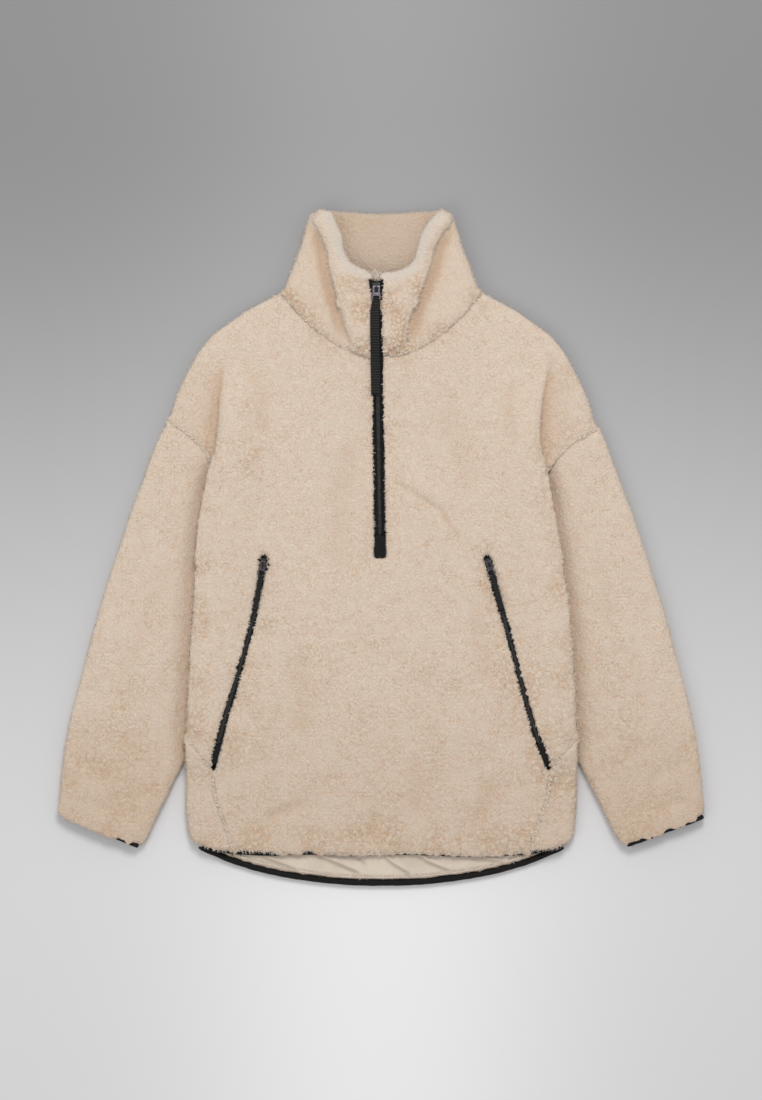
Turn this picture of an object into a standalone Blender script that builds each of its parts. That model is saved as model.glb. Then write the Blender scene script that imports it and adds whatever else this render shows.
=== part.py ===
"""Sherpa fleece half-zip pullover, laid out flat on its back.

Metres, +Z up. The garment lies on the plane z = 0 with its collar towards +Y, seen from above
with the zip uppermost. The origin is under the middle of its bounding box.

Each cut piece is a layer of cloth between two skins. A skin is an outline filled with triangles
and lifted to a height worked out from the layers below it, the folds and the rounded borders.
Pieces that go round a folded edge, such as a sleeve, are two layers joined along that edge.
"""

import math
from collections import namedtuple

import bmesh
import bpy
import numpy as np
from mathutils import Vector
from mathutils.geometry import delaunay_2d_cdt

# ---------------------------------------------------------------- driving dimensions
FLEECE = 0.009          # one layer of sherpa: knit backing, pile and bonded lining
COLLAR_WALL = 0.013     # the collar is sherpa on both faces
LAYER_GAP = 0.0018      # between the back and the front, where the hem lining lies
SLEEVE_GAP = 0.0008     # between the two layers of a sleeve
SEAM_GAP = 0.0003       # between any two pieces
LINING = 0.0012         # woven lining at the back hem

RISE = 0.0112           # how far the body's edge lies above the floor, on the sleeve
RISE_TOP = (0.085, 0.118)       # y over which that rise fades out towards the armhole
RISE_FOOT = (-0.300, -0.245)    # and towards the hem
TUCK_TOP = (0.150, 0.228)       # y over which the chest's own folded edge fades out above it
TUCK_FOLD = (0.222, 0.105)      # from where to where that edge stands out as a step
SLEEVE_FLAT = 0.0104    # the sleeve's height where the body presses it
SLEEVE_FULL = 0.0190    # and where it lies free
PRESSED = 0.024         # width of the slope between the two
RIDGE = 0.022           # width of the raised strip along the body's edge
RIDGE_FADE = 0.078      # where that strip has sunk back to the chest
FOLD_ROUND = 0.010      # rounding of a folded edge
SEAM_ROUND = 0.005      # rounding of the pile at a sewn seam
FOLD_JOIN = 0.0090      # cloth folded double is joined this far in from its fold
FOLD_RIM = 0.0015       # what is left of a layer's thickness on a folded border
SEAM_RIM = 0.0055       # and on a seam
HEM_ROUND = 0.007       # rounding of the front hem
HEM_RIM = 0.0035
CUFF_ROUND = 0.006      # of the cuffs and the collar's back
CUFF_RIM = 0.0045
RIM_ROUND = 0.0095      # of the collar's front rim
RIM_LEFT = 0.0030
FOLD_OPENS = (0.001, 0.011)     # distance from the side fold over which front and back part

FRONT_BOTTOM = FLEECE + LAYER_GAP
FRONT_TOP = FRONT_BOTTOM + FLEECE
NECK_RISE = 0.0045      # the front climbs this much to the collar
NECK_CENTRE_Y = 0.300
NECK_REACH = (0.070, 0.170)     # distance from the neck's middle over which it climbs
COLLAR_STEP = 0.0095    # the folded front of the collar above its sides
COLLAR_UNDER = COLLAR_WALL + 0.0006
COLLAR_TOP = COLLAR_UNDER + COLLAR_WALL
COLLAR_FOOT = (0.236, 0.262)    # y over which the collar's front reaches its full height
COLLAR_DIP = 0.0015     # it lies this much lower at the neck seam
STEP_AT_SEAM = 0.35     # and its folded front has this share of its step there
UNDER_STEP = (0.004, 0.018)     # depth in the folded front over which its underside follows
RIM_CLEAR = 0.004       # the rim's points keep this far from the zip's slot

ZIP_SLOT = 0.0150       # gap in the fleece that shows the neck zip
ZIP_RECESS = 0.0030     # tape below the top of the pile
ZIP_TOP_Y = 0.3330
ZIP_END_Y = -0.0125
ZIP_TOP_X = -0.0065
ZIP_LEAN = 0.0145       # the zip drifts this far to +X per metre down
POCKET_SLOT = 0.0095
POCKET_RECESS = 0.0035
TAPE = 0.0012
CHAIN_WIDTH = 0.0050
CHAIN_HEIGHT = 0.0021
PATCH = 0.0026          # folded cloth over the end of a zip
PATCH_EDGE = 0.0006     # how much its corners are eased
NECK_PATCH_Y = 0.0165   # top of the patch at the end of the neck zip
POCKET_PATCH_Y = -0.2440
POCKET_END_Y = -0.2690

HINGE_HEIGHT = 0.0013   # a pull's bar above its slider
ROD = 0.0014            # thickness of a pull
CHANNEL_CLEAR = 0.0003  # room for the chain and the tape in a slider
CHANNEL_REACH = 0.0200  # length of the block that cuts the channel, past the slider's lower end
PULL_RAIL = 0.0026      # width of metal beside the pull's hole
SLOT_RAIL = 0.0012      # and beside its ribbon slot
SLOT_HEIGHT = 0.0031
WEBBING = 0.0009        # thickness of the webbing on a pull, which lies double
WEBBING_GAP = 0.0005    # between its two layers
WEBBING_BEND = 0.0060   # length over which it spreads from the pull

TRIM_BINDING = 0.0022   # radius of the rolled binding at the front hem and the cuffs
BINDING_TAPER = 0.3     # share of the radius lost at the side corners
CUFF_LEVELS = (0.74, 0.26)      # the cuff binding's two runs, as shares of the sleeve's height
STEP = 0.019            # spacing of the points along an outline
RAMP_STEP = 0.029       # and along a guide line
SLOT_STEP = 0.020       # and down the neck zip's slot
CELL = 0.027            # spacing of the points inside a panel
PLAIN_CELL = 0.048      # and inside a face that nothing shows of
BORDER_RINGS = (0.0022, 0.0085)     # depths of the rings of points along a rounded border
INNER_RING = (0.0060,)
FOLD_LINES = (-0.0008, 0.0020, FOLD_ROUND)      # depths of the guide lines along a raised fold
RAMP = (0.0220, 0.0320, 0.0430, 0.0550, 0.0670, 0.0780)     # of those on the body's rise
PLAIN_RAMP = (0.0220, 0.0400, 0.0600, 0.0780)               # and of those on hidden faces

# ---------------------------------------------------------------- outlines, x for both sides
Edge = namedtuple("Edge", "y left right")
Point = namedtuple("Point", "x y")
Border = namedtuple("Border", "line radius rim")
Crease = namedtuple("Crease", "x0 y0 x1 y1 width height")
Level = namedtuple("Level", "y half")
Binding = namedtuple("Binding", "radius middle corner")
Run = namedtuple("Run", "line fold")
Layer = namedtuple("Layer", "runs outer inner cell inner_cell rings inner_rings lines inner_lines",
                   defaults=(CELL, PLAIN_CELL, BORDER_RINGS, (), (), ()))
Slider = namedtuple("Slider", "width length plate crown pull_width pull_length hole ring")
Strip = namedtuple("Strip", "length gathered width room clear")

# Half widths of the body at its folded side edges.
BODY_EDGE = [
    Edge(0.2250, 0.1970, 0.2095),
    Edge(0.1850, 0.2040, 0.2030),
    Edge(0.1475, 0.2065, 0.2000),
    Edge(0.1100, 0.2120, 0.2030),
    Edge(0.0725, 0.2190, 0.2090),
    Edge(0.0350, 0.2260, 0.2160),
    Edge(-0.0150, 0.2310, 0.2250),
    Edge(-0.0650, 0.2350, 0.2335),
    Edge(-0.1520, 0.2400, 0.2410),
    Edge(-0.2360, 0.2435, 0.2440),
    Edge(-0.3200, 0.2440, 0.2440),
    Edge(-0.3600, 0.2420, 0.2400),
]
NECK_SEAM = [Point(0.016, 0.2395), Point(0.055, 0.2540), Point(0.0925, 0.2830), Point(0.1230, 0.3175)]
BACK_NECK = [Point(0.0, 0.3030), Point(0.060, 0.3050), Point(0.1230, 0.3175)]
SHOULDER = [
    Point(0.1230, 0.3175), Point(0.1340, 0.3155), Point(0.1440, 0.3095), Point(0.1700, 0.2950),
    Point(0.1910, 0.2800), Point(0.2110, 0.2660), Point(0.2270, 0.2460), Point(0.2420, 0.2200),
    Point(0.2560, 0.1900),
]
ARMHOLE = {
    -1: [Point(0.2650, 0.1590), Point(0.2385, 0.1400), Point(0.2120, 0.1100)],
    1: [Point(0.2685, 0.1480), Point(0.2385, 0.1310), Point(0.2050, 0.0970)],
}
GUSSET_UPPER = [Point(0.2437, -0.2360), Point(0.2245, -0.2570), Point(0.2125, -0.2800)]
GUSSET_LOWER = [
    Point(0.2125, -0.2800), Point(0.2070, -0.3120), Point(0.1945, -0.3480), Point(0.1850, -0.3775),
]
FRONT_HEM = [
    Point(-0.1850, -0.3775), Point(-0.1450, -0.3800), Point(-0.0900, -0.3785), Point(-0.0350, -0.3805),
    Point(0.0300, -0.3785), Point(0.0950, -0.3810), Point(0.1450, -0.3810), Point(0.1850, -0.3775),
]
HEM_CORNER = [Point(0.2405, -0.3580), Point(0.2360, -0.3660), Point(0.2270, -0.3710)]
FRONT_CORNER = [Point(0.2270, -0.3710), Point(0.2060, -0.3765), Point(0.1850, -0.3775)]
BACK_CORNER = [Point(0.2270, -0.3710), Point(0.2080, -0.3785), Point(0.1850, -0.3880)]
BACK_HEM = [
    Point(-0.1850, -0.3880), Point(-0.1330, -0.4025), Point(-0.0600, -0.4130), Point(0.0, -0.4154),
    Point(0.0600, -0.4130), Point(0.1330, -0.4025), Point(0.1850, -0.3880),
]
LINING_HEM = [
    Point(0.0, -0.4130), Point(0.0600, -0.4105), Point(0.1330, -0.3998), Point(0.1760, -0.3875),
]
LINING_TOP = Point(0.1680, -0.3450)
POCKET = {
    -1: [Point(0.1465, -0.0110), Point(0.1515, -0.0460), Point(0.1605, -0.0900), Point(0.1745, -0.1420),
         Point(0.1940, -0.2080), Point(0.2125, -0.2800)],
    1: [Point(0.1319, -0.0110), Point(0.1410, -0.0450), Point(0.1580, -0.1050), Point(0.1765, -0.1740),
        Point(0.1925, -0.2310), Point(0.2125, -0.2800)],
}
SLEEVE_OUTER = [
    Point(0.2690, 0.1570), Point(0.2810, 0.1300), Point(0.2975, 0.0850), Point(0.3145, 0.0400),
    Point(0.3295, -0.0050), Point(0.3440, -0.0500), Point(0.3575, -0.0950), Point(0.3695, -0.1400),
    Point(0.3815, -0.1850), Point(0.3920, -0.2300), Point(0.3985, -0.2750), Point(0.4020, -0.3100),
]
CUFF = {
    -1: [Point(0.4020, -0.3100), Point(0.4028, -0.3230), Point(0.3960, -0.3310), Point(0.3500, -0.3505),
         Point(0.3040, -0.3700), Point(0.2970, -0.3690), Point(0.2930, -0.3610)],
    1: [Point(0.4020, -0.3100), Point(0.4034, -0.3255), Point(0.4005, -0.3340), Point(0.3540, -0.3515),
        Point(0.3070, -0.3690), Point(0.2990, -0.3680), Point(0.2940, -0.3610)],
}
SLEEVE_INNER = [
    Point(0.2930, -0.3610), Point(0.2820, -0.3370), Point(0.2660, -0.3050), Point(0.2500, -0.2740),
    Point(0.2360, -0.2430), Point(0.2260, -0.2050), Point(0.2200, -0.1520), Point(0.2130, -0.0650),
    Point(0.2060, 0.0150),
]
UNDERARM = [Point(0.0090, -0.0360), Point(0.0030, -0.0600)]     # measured from the armhole's end
CUFF_CORNER = 3         # points of the cuff's line that go round each of its corners
COLLAR_SIDE = [
    Point(0.1230, 0.3175), Point(0.1160, 0.3360), Point(0.1070, 0.3600), Point(0.0995, 0.3800),
    Point(0.0930, 0.4030), Point(0.0880, 0.4165), Point(0.0760, 0.4226),
]
COLLAR_RIM = [      # top edge of the front of the collar, round the neck opening
    Point(-0.0620, 0.4185), Point(-0.0560, 0.4040), Point(-0.0490, 0.3880), Point(-0.0465, 0.3700),
    Point(-0.0370, 0.3550), Point(-0.0200, 0.3460), Point(0.0040, 0.3430), Point(0.0260, 0.3470),
    Point(0.0400, 0.3580), Point(0.0445, 0.3740), Point(0.0500, 0.3900), Point(0.0590, 0.4060),
    Point(0.0690, 0.4185),
]
COLLAR_BACK_TOP = [
    Point(-0.0760, 0.4226), Point(-0.0500, 0.4200), Point(0.0, 0.4172), Point(0.0500, 0.4200),
    Point(0.0760, 0.4226),
]
COLLAR_FOLD = {     # where the folded front of the collar lies over its sides
    -1: [Point(0.0850, 0.4050), Point(0.0785, 0.3930), Point(0.0690, 0.3690), Point(0.0665, 0.3500),
         Point(0.0590, 0.3190), Point(0.0495, 0.2860), Point(0.0370, 0.2520)],
    1: [Point(0.0880, 0.4050), Point(0.0760, 0.3900), Point(0.0660, 0.3690), Point(0.0625, 0.3500),
        Point(0.0510, 0.3190), Point(0.0385, 0.2900), Point(0.0300, 0.2520)],
}

COLLAR_SLOT = [         # half width of the zip's slot in the collar, which closes at the rim
    Level(0.2650, ZIP_SLOT / 2), Level(0.2880, ZIP_SLOT / 2), Level(0.3110, ZIP_SLOT / 2),
    Level(0.3340, ZIP_SLOT / 2), Level(0.3385, 0.0012),
]

# Large soft creases of the front and the sleeves: a straight run, its width, its height.
FRONT_CREASES = [
    Crease(0.030, 0.078, 0.062, 0.055, 0.012, 0.0016),
    Crease(0.052, 0.040, 0.100, 0.000, 0.030, 0.0013),
    Crease(-0.144, -0.342, -0.085, -0.312, 0.013, -0.0016),
    Crease(-0.020, -0.362, -0.012, -0.342, 0.016, -0.0015),
    Crease(0.062, -0.180, 0.066, -0.290, 0.024, -0.0012),
    Crease(-0.070, -0.060, -0.055, -0.230, 0.034, 0.0012),
    Crease(0.130, -0.300, 0.150, -0.350, 0.018, 0.0012),
]
SLEEVE_CREASES = [
    Crease(0.375, -0.262, 0.330, -0.290, 0.016, -0.0014),
    Crease(0.372, -0.318, 0.335, -0.330, 0.014, -0.0014),
    Crease(0.300, -0.120, 0.330, -0.220, 0.030, 0.0012),
]

# Rolled hem bindings: the height of their middle line in the middle and at the side corners.
BACK_BINDING = Binding(radius=0.0034, middle=0.0042, corner=0.0058)
FRONT_BINDING = Binding(radius=TRIM_BINDING, middle=0.0136, corner=0.0130)

# The sliders with their pulls, and the webbing on the pulls.
MAIN = Slider(width=0.0098, length=0.0115, plate=0.0015, crown=0.0006, pull_width=0.0105,
              pull_length=0.0170, hole=0.0072, ring=None)
SMALL = Slider(width=0.0078, length=0.0095, plate=0.0013, crown=0.0005, pull_width=0.0070,
               pull_length=0.0120, hole=0.0066, ring=Point(0.0050, 0.0036))
RIBBON = Strip(length=0.118, gathered=0.0074, width=0.0110, room=0.0004, clear=CHAIN_HEIGHT + 3 * SEAM_GAP)
PULLER = Strip(length=0.044, gathered=0.0050, width=0.0075, room=0.0010, clear=POCKET_RECESS + 0.0008)
NECK_HINGE_Y = ZIP_TOP_Y - 0.0080
POCKET_HINGE_Y = POCKET[1][0].y - 0.0060

MATERIALS = {           # colour, roughness, metallic
    "sherpa": ((0.60, 0.48, 0.36), 0.95, 0.0),
    "lining": ((0.62, 0.54, 0.44), 0.45, 0.0),
    "black_trim": ((0.012, 0.012, 0.012), 0.75, 0.0),
    "gunmetal": ((0.07, 0.07, 0.08), 0.35, 0.9),
}


# ---------------------------------------------------------------- lines and distances
def smooth_line(points, step=STEP):
    """Points about a step apart on a smooth curve through the given ones."""
    through = np.array([(p.x, p.y) for p in points])
    ends = 2 * through[0] - through[1], 2 * through[-1] - through[-2]
    through = np.vstack([ends[0], through, ends[1]])
    line = []
    for a, b, c, d in zip(through, through[1:], through[2:], through[3:]):
        count = max(1, round(float(np.linalg.norm(c - b)) / step))
        for t in np.arange(count) / count:
            line.append(0.5 * (2 * b + (c - a) * t + (2 * a - 5 * b + 4 * c - d) * t * t
                               + (3 * b - a - 3 * c + d) * t ** 3))
    line.append(through[-2])
    return np.array(line)


def on_side(side, line):
    """A line drawn for x > 0, moved to one side of the garment."""
    return np.array(line) * (side, 1)


def joined(*lines):
    """One closed outline from lines that follow each other, without repeated points."""
    points = []
    for p in np.vstack(lines):
        if not points or np.linalg.norm(p - points[-1]) > 1e-6:
            points.append(p)
    if np.linalg.norm(points[0] - points[-1]) < 1e-6:
        points.pop()
    return np.array(points)


def offset(outline, by):
    """A closed outline moved by a distance to its inside."""
    before, after = np.roll(outline, 1, axis=0), np.roll(outline, -1, axis=0)
    area = np.sum(outline[:, 0] * after[:, 1] - after[:, 0] * outline[:, 1])
    turn = math.copysign(1, area)
    normals = []
    for a, b in ((before, outline), (outline, after)):
        run = b - a
        run = run / np.linalg.norm(run, axis=1)[:, None]
        normals.append(np.stack([-run[:, 1], run[:, 0]], axis=1) * turn)
    mitre = normals[0] + normals[1]
    share = np.maximum(1 + np.sum(normals[0] * normals[1], axis=1), 0.5)
    return outline + mitre / share[:, None] * by


def distance(xy, line, closed=False):
    """How far each point is from a line."""
    line = np.vstack([line, line[:1]]) if closed else line
    best = np.full(len(xy), np.inf)
    for a, b in zip(line, line[1:]):
        run = b - a
        t = np.clip((xy - a) @ run / max(run @ run, 1e-18), 0, 1)
        best = np.minimum(best, np.linalg.norm(xy - a - t[:, None] * run, axis=1))
    return best


def inside(xy, outline):
    """Whether each point is inside a closed outline."""
    x, y = xy[:, 0], xy[:, 1]
    odd = np.zeros(len(xy), bool)
    for a, b in zip(outline, np.roll(outline, -1, axis=0)):
        crosses = (a[1] > y) != (b[1] > y)
        odd ^= crosses & (x < a[0] + (y - a[1]) * (b[0] - a[0]) / (b[1] - a[1] + 1e-15))
    return odd


def up_to_crossing(line, other):
    """A line as far as the other one, and the number of the other's points before they cross."""
    for i, (a, b) in enumerate(zip(line, line[1:])):
        for j, (c, d) in enumerate(zip(other, other[1:])):
            sides = np.array([b - a, c - d]).T
            if abs(np.linalg.det(sides)) < 1e-12:
                continue
            t, u = np.linalg.solve(sides, c - a)
            if 0 <= t <= 1 and 0 <= u <= 1:
                return np.vstack([line[:i + 1], a + t * (b - a)]), j + 1
    raise ValueError("the lines do not cross")


def ease(low, high, value):
    """0 up to low, 1 from high on, and a smooth step between."""
    t = np.clip((value - low) / (high - low), 0, 1)
    return t * t * (3 - 2 * t)


def quarter(t):
    """The height of a quarter circle, 0 at t = 0 and 1 from t = 1 on."""
    return np.sqrt(1 - (1 - np.clip(t, 0, 1)) ** 2)


EDGE_Y = np.array([row.y for row in BODY_EDGE])[::-1]
EDGE_X = {-1: np.array([row.left for row in BODY_EDGE])[::-1],
          1: np.array([row.right for row in BODY_EDGE])[::-1]}


def edge_depth(xy):
    """How far inside the body's folded edge each point is, negative outside it."""
    x, y = xy[:, 0], xy[:, 1]
    edge = np.where(x < 0, np.interp(y, EDGE_Y, EDGE_X[-1]), np.interp(y, EDGE_Y, EDGE_X[1]))
    return edge - np.abs(x)


def zip_x(y):
    """Where the middle of the neck zip is."""
    return ZIP_TOP_X + (ZIP_TOP_Y - y) * ZIP_LEAN


# ---------------------------------------------------------------- heights
def sleeve_rise(xy):
    """How far the back is lifted by the sleeve under its edge."""
    y = xy[:, 1]
    along = (1 - ease(*RISE_TOP, y)) * ease(*RISE_FOOT, y)
    return RISE * along * (1 - ease(RIDGE, RIDGE_FADE, edge_depth(xy)))


def tuck(xy):
    """Extra height of the front where its own cloth is folded under the chest's edge."""
    y, depth = xy[:, 1], edge_depth(xy)
    along = (1 - ease(*TUCK_TOP, y)) * ease(*RISE_TOP, y)
    across = quarter(depth / FOLD_ROUND) * (depth > 0) * (1 - ease(RIDGE, RIDGE_FADE, depth))
    return RISE * along * across


def creased(xy, creases):
    """The sum of the soft creases at each point."""
    height = np.zeros(len(xy))
    for c in creases:
        away = distance(xy, np.array([(c.x0, c.y0), (c.x1, c.y1)]))
        height += c.height * np.exp(-(away / c.width) ** 2)
    return height


def neck_rise(xy):
    """How much the front climbs to the neck seam."""
    away = np.hypot(xy[:, 0], xy[:, 1] - NECK_CENTRE_Y)
    return NECK_RISE * (1 - ease(*NECK_REACH, away))


def front_under(xy):
    """Underside of the front, above the back, which it meets along the folded sides."""
    folds = [side_fold(-1), side_fold(1), shoulder_line(-1), shoulder_line(1)]
    away = np.min([distance(xy, fold) for fold in folds], axis=0)
    meeting = (LAYER_GAP - SEAM_GAP) * (1 - ease(*FOLD_OPENS, away))
    return FRONT_BOTTOM - meeting + sleeve_rise(xy) + neck_rise(xy)


def front_over(xy):
    """Top of the front before its borders are rounded."""
    return FRONT_TOP + sleeve_rise(xy) + neck_rise(xy) + tuck(xy) + creased(xy, FRONT_CREASES)


def wall_share(xy, borders):
    """How much of its full thickness a layer has at each point, rounded off along its borders."""
    share = np.ones(len(xy))
    for border in borders:
        rim = border.rim / FLEECE
        share = np.minimum(share, rim + (1 - rim) * quarter(distance(xy, border.line) / border.radius))
    return share


def rounded(over, under, borders):
    """The upper skin's height, brought down to the lower skin along each border."""
    def height(xy):
        return under(xy) + (over(xy) - under(xy)) * wall_share(xy, borders)
    return height


def rounded_below(under, over, borders):
    """The lower skin's height, brought up to the upper skin along each border."""
    def height(xy):
        return over(xy) - (over(xy) - under(xy)) * wall_share(xy, borders)
    return height


def flat(height):
    """A skin that lies level at one height."""
    def level(xy):
        return np.full(len(xy), height)
    return level


# ---------------------------------------------------------------- building
def finish(name, mesh, material):
    """An object of the garment's collection, smooth but for its sharp corners."""
    colour, roughness, metallic = MATERIALS[material]
    look = bpy.data.materials.get(material)
    if look is None:
        look = bpy.data.materials.new(material)
        look.use_nodes = True
        shader = look.node_tree.nodes["Principled BSDF"]
        shader.inputs["Base Color"].default_value = (*colour, 1)
        shader.inputs["Roughness"].default_value = roughness
        shader.inputs["Metallic"].default_value = metallic
    if isinstance(mesh, bpy.types.Mesh):
        mesh.shade_smooth()
        mesh.set_sharp_from_angle(angle=math.radians(55))
    mesh.materials.append(look)
    thing = bpy.data.objects.new(name, mesh)
    GARMENT.objects.link(thing)
    return thing


def skin(bm, outline, cell, rings, lines, height):
    """Fills an outline with triangles at the given height; returns its border vertices in order."""
    points = [outline]
    for depth in rings:
        ring = offset(outline, depth)
        keep = inside(ring, outline) & (distance(ring, outline, closed=True) > 0.9 * depth)
        points.append(ring[keep])
    margin = (max(rings) if rings else 0) + 0.4 * cell
    edges = [(i, (i + 1) % len(outline)) for i in range(len(outline))]
    for line in lines:
        keep = inside(line, outline) & (distance(line, outline, closed=True) > 0.0015)
        start = sum(len(p) for p in points)
        kept = np.cumsum(keep) - 1 + start
        edges += [(kept[i], kept[i + 1]) for i in range(len(line) - 1) if keep[i] and keep[i + 1]]
        points.append(line[keep])
    low, high = outline.min(axis=0), outline.max(axis=0)
    grid = np.array([(x + 0.5 * cell * (row % 2), y)
                     for row, y in enumerate(np.arange(low[1], high[1], 0.87 * cell))
                     for x in np.arange(low[0], high[0], cell)])
    clear = inside(grid, outline) & (distance(grid, outline, closed=True) > margin)
    for line in lines:
        clear &= distance(grid, line) > 0.4 * cell
    points.append(grid[clear])
    corners = [Vector(p) for p in np.vstack(points)]
    verts, _, faces, origins, _, _ = delaunay_2d_cdt(corners, edges, [], 1, 1e-7)
    xy = np.array([(v.x, v.y) for v in verts])
    made = [bm.verts.new((x, y, z)) for (x, y), z in zip(xy, height(xy))]
    for face in faces:
        bm.faces.new([made[i] for i in face])
    place = {source: at for at, sources in enumerate(origins) for source in sources}
    return [made[place[i]] for i in range(len(outline))]


def layer(outline, over, under, cell=CELL, under_cell=PLAIN_CELL, rings=BORDER_RINGS,
          under_rings=(), lines=(), under_lines=()):
    """The mesh of one layer of cloth, between an upper and a lower skin."""
    outline = offset(outline, SEAM_GAP / 2)
    bm = bmesh.new()
    top = skin(bm, outline, cell, rings, lines, over)
    bottom = skin(bm, outline, under_cell, under_rings, under_lines, under)
    for i, vertex in enumerate(top):
        j = (i + 1) % len(top)
        bm.faces.new((vertex, top[j], bottom[j], bottom[i]))
    bmesh.ops.recalc_face_normals(bm, faces=bm.faces)
    mesh = bpy.data.meshes.new("layer")
    bm.to_mesh(mesh)
    bm.free()
    return mesh


def inset_run(line, by, inside_of):
    """A fold's line moved into its piece, but for its two ends."""
    run = np.gradient(line, axis=0)
    run = run / np.linalg.norm(run, axis=1)[:, None]
    moved = line + np.stack([-run[:, 1], run[:, 0]], axis=1) * by
    if inside(moved[1:-1], inside_of).mean() < 0.5:
        moved = 2 * line - moved
    moved[0], moved[-1] = line[0], line[-1]
    return moved


def folded(name, layers, material):
    """One object from layers of the same cloth, joined where it is folded back on itself.

    Each layer has an outer and an inner skin. Along an open run the two are joined by the cut
    edge. Along a fold the outer skins of both layers are joined round the outside, and the inner
    skins meet a wall's thickness inside it.
    """
    bm = bmesh.new()
    ends = {}
    for part in layers:
        outline = np.vstack([run.line[:-1] for run in part.runs])
        outer_xy = offset(outline, SEAM_GAP / 2)
        inner_xy = outer_xy.copy()
        spans, first = [], 0
        for run in part.runs:
            last = first + len(run.line) - 1
            spans.append((run.fold, [at % len(outline) for at in range(first, last + 1)]))
            first = last
        for fold, span in spans:
            if fold:
                inner_xy[span] = inset_run(outer_xy[span], FOLD_JOIN, outline)
        outer = skin(bm, outer_xy, part.cell, part.rings, part.lines, part.outer)
        inner = skin(bm, inner_xy, part.inner_cell, part.inner_rings, part.inner_lines, part.inner)
        for fold, span in spans:
            if fold:
                ends.setdefault(fold, []).append(([outer[i] for i in span], [inner[i] for i in span]))
                continue
            for a, b in zip(span, span[1:]):
                bm.faces.new((outer[a], outer[b], inner[b], inner[a]))
    for (over, mid), (under, other_mid) in ends.values():
        if (over[0].co - under[0].co).length > (over[0].co - under[-1].co).length:
            under, other_mid = under[::-1], other_mid[::-1]
        bmesh.ops.weld_verts(bm, targetmap=dict(zip(other_mid, mid)))
        for i in range(len(over) - 1):
            face = [over[i], over[i + 1], under[i + 1], under[i]]
            if i == 0:
                face.append(mid[0])
            if i == len(over) - 2:
                face.insert(2, mid[-1])
            bm.faces.new(face)
    bmesh.ops.triangulate(bm, faces=[face for face in bm.faces if len(face.verts) > 3])
    bmesh.ops.recalc_face_normals(bm, faces=bm.faces)
    mesh = bpy.data.meshes.new(name)
    bm.to_mesh(mesh)
    bm.free()
    return finish(name, mesh, material)


def tube(name, points, radius, material, radii=None, cyclic=False, sides=2):
    """A round tube along points, each with its own share of the radius."""
    curve = bpy.data.curves.new(name, "CURVE")
    curve.dimensions = "3D"
    curve.bevel_depth = radius
    curve.bevel_resolution = sides
    curve.use_fill_caps = not cyclic
    spline = curve.splines.new("POLY")
    spline.points.add(len(points) - 1)
    spline.use_cyclic_u = cyclic
    for i, point in enumerate(points):
        spline.points[i].co = (*point, 1)
        spline.points[i].radius = 1 if radii is None else radii[i]
    return finish(name, curve, material)


# ---------------------------------------------------------------- the body
def armhole_line(side):
    """The armhole seam, from the shoulder to the body's edge."""
    return on_side(side, smooth_line(ARMHOLE[side]))


def shoulder_line(side):
    """The shoulder, from the neck to the armhole."""
    return on_side(side, smooth_line(SHOULDER + ARMHOLE[side][:1]))


def neck_line(side):
    """The neck seam of the front, from the zip to the shoulder."""
    line = on_side(side, smooth_line(NECK_SEAM))
    line[0, 0] = zip_x(NECK_SEAM[0].y) + side * ZIP_SLOT / 2
    return line


def body_edge_line(side, top_y, bottom_y, step=STEP):
    """The body's side edge from one y down to another."""
    count = max(2, round((top_y - bottom_y) / step))
    y = np.linspace(top_y, bottom_y, count + 1)
    return np.stack([side * np.interp(y, EDGE_Y, EDGE_X[side]), y], axis=1)


def side_fold(side):
    """The body's side edge where the front and the back meet."""
    return body_edge_line(side, ARMHOLE[side][-1].y, BODY_EDGE[-1].y)


def ramp_lines(depths):
    """Guide lines along both edges of the body, where the cloth comes down from the sleeves."""
    lines = []
    for side in (-1, 1):
        edge = body_edge_line(side, TUCK_TOP[1], RISE_FOOT[0], step=RAMP_STEP)
        lines += [edge - (side * depth, 0) for depth in depths]
    return lines


def pocket_line(side):
    """The middle of a pocket zip, from its top to the gusset's tip."""
    return on_side(side, smooth_line(POCKET[side], 0.016))


def gusset_seams(side):
    """The gusset's seam above and below its tip."""
    return on_side(side, smooth_line(GUSSET_UPPER)), on_side(side, smooth_line(GUSSET_LOWER))


def pocket_slot(side):
    """The notch for the pocket zip, from the gusset's upper seam round to its lower seam."""
    line = pocket_line(side)
    line = np.vstack([line, 2 * line[-1] - line[-2]])
    across = np.array([side * POCKET_SLOT / 2, 0])
    upper, lower = gusset_seams(side)
    outer, _ = up_to_crossing(line + across, upper)
    inner, _ = up_to_crossing(line - across, lower)
    top = line[0] + (0, 0.4 * POCKET_SLOT)
    return np.vstack([outer[::-1], top, inner])


def zip_notch():
    """The slot for the neck zip, from the left end of the neck seam round to the right one."""
    rows = np.arange(NECK_SEAM[0].y - SLOT_STEP, ZIP_END_Y, -SLOT_STEP)
    half = ZIP_SLOT / 2
    left = [(zip_x(y) - half, y) for y in rows]
    right = [(zip_x(y) + half, y) for y in rows[::-1]]
    end = [(zip_x(ZIP_END_Y) + share * half, ZIP_END_Y) for share in (-1, 1)]
    return np.array(left + end + right)


def half_body(side, neck):
    """The lines round one half of the front or the back, from the neck to the gusset's seam."""
    edge = body_edge_line(side, ARMHOLE[side][-1].y, GUSSET_UPPER[0].y)[1:]
    return [neck, shoulder_line(side), armhole_line(side), edge, gusset_seams(side)[0]]


def fold_borders():
    """The borders that are folded or shaped like a fold: the body's sides and the shoulders."""
    lines = [line(side) for line in (side_fold, shoulder_line) for side in (-1, 1)]
    return [Border(line, FOLD_ROUND, FOLD_RIM) for line in lines]


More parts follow.
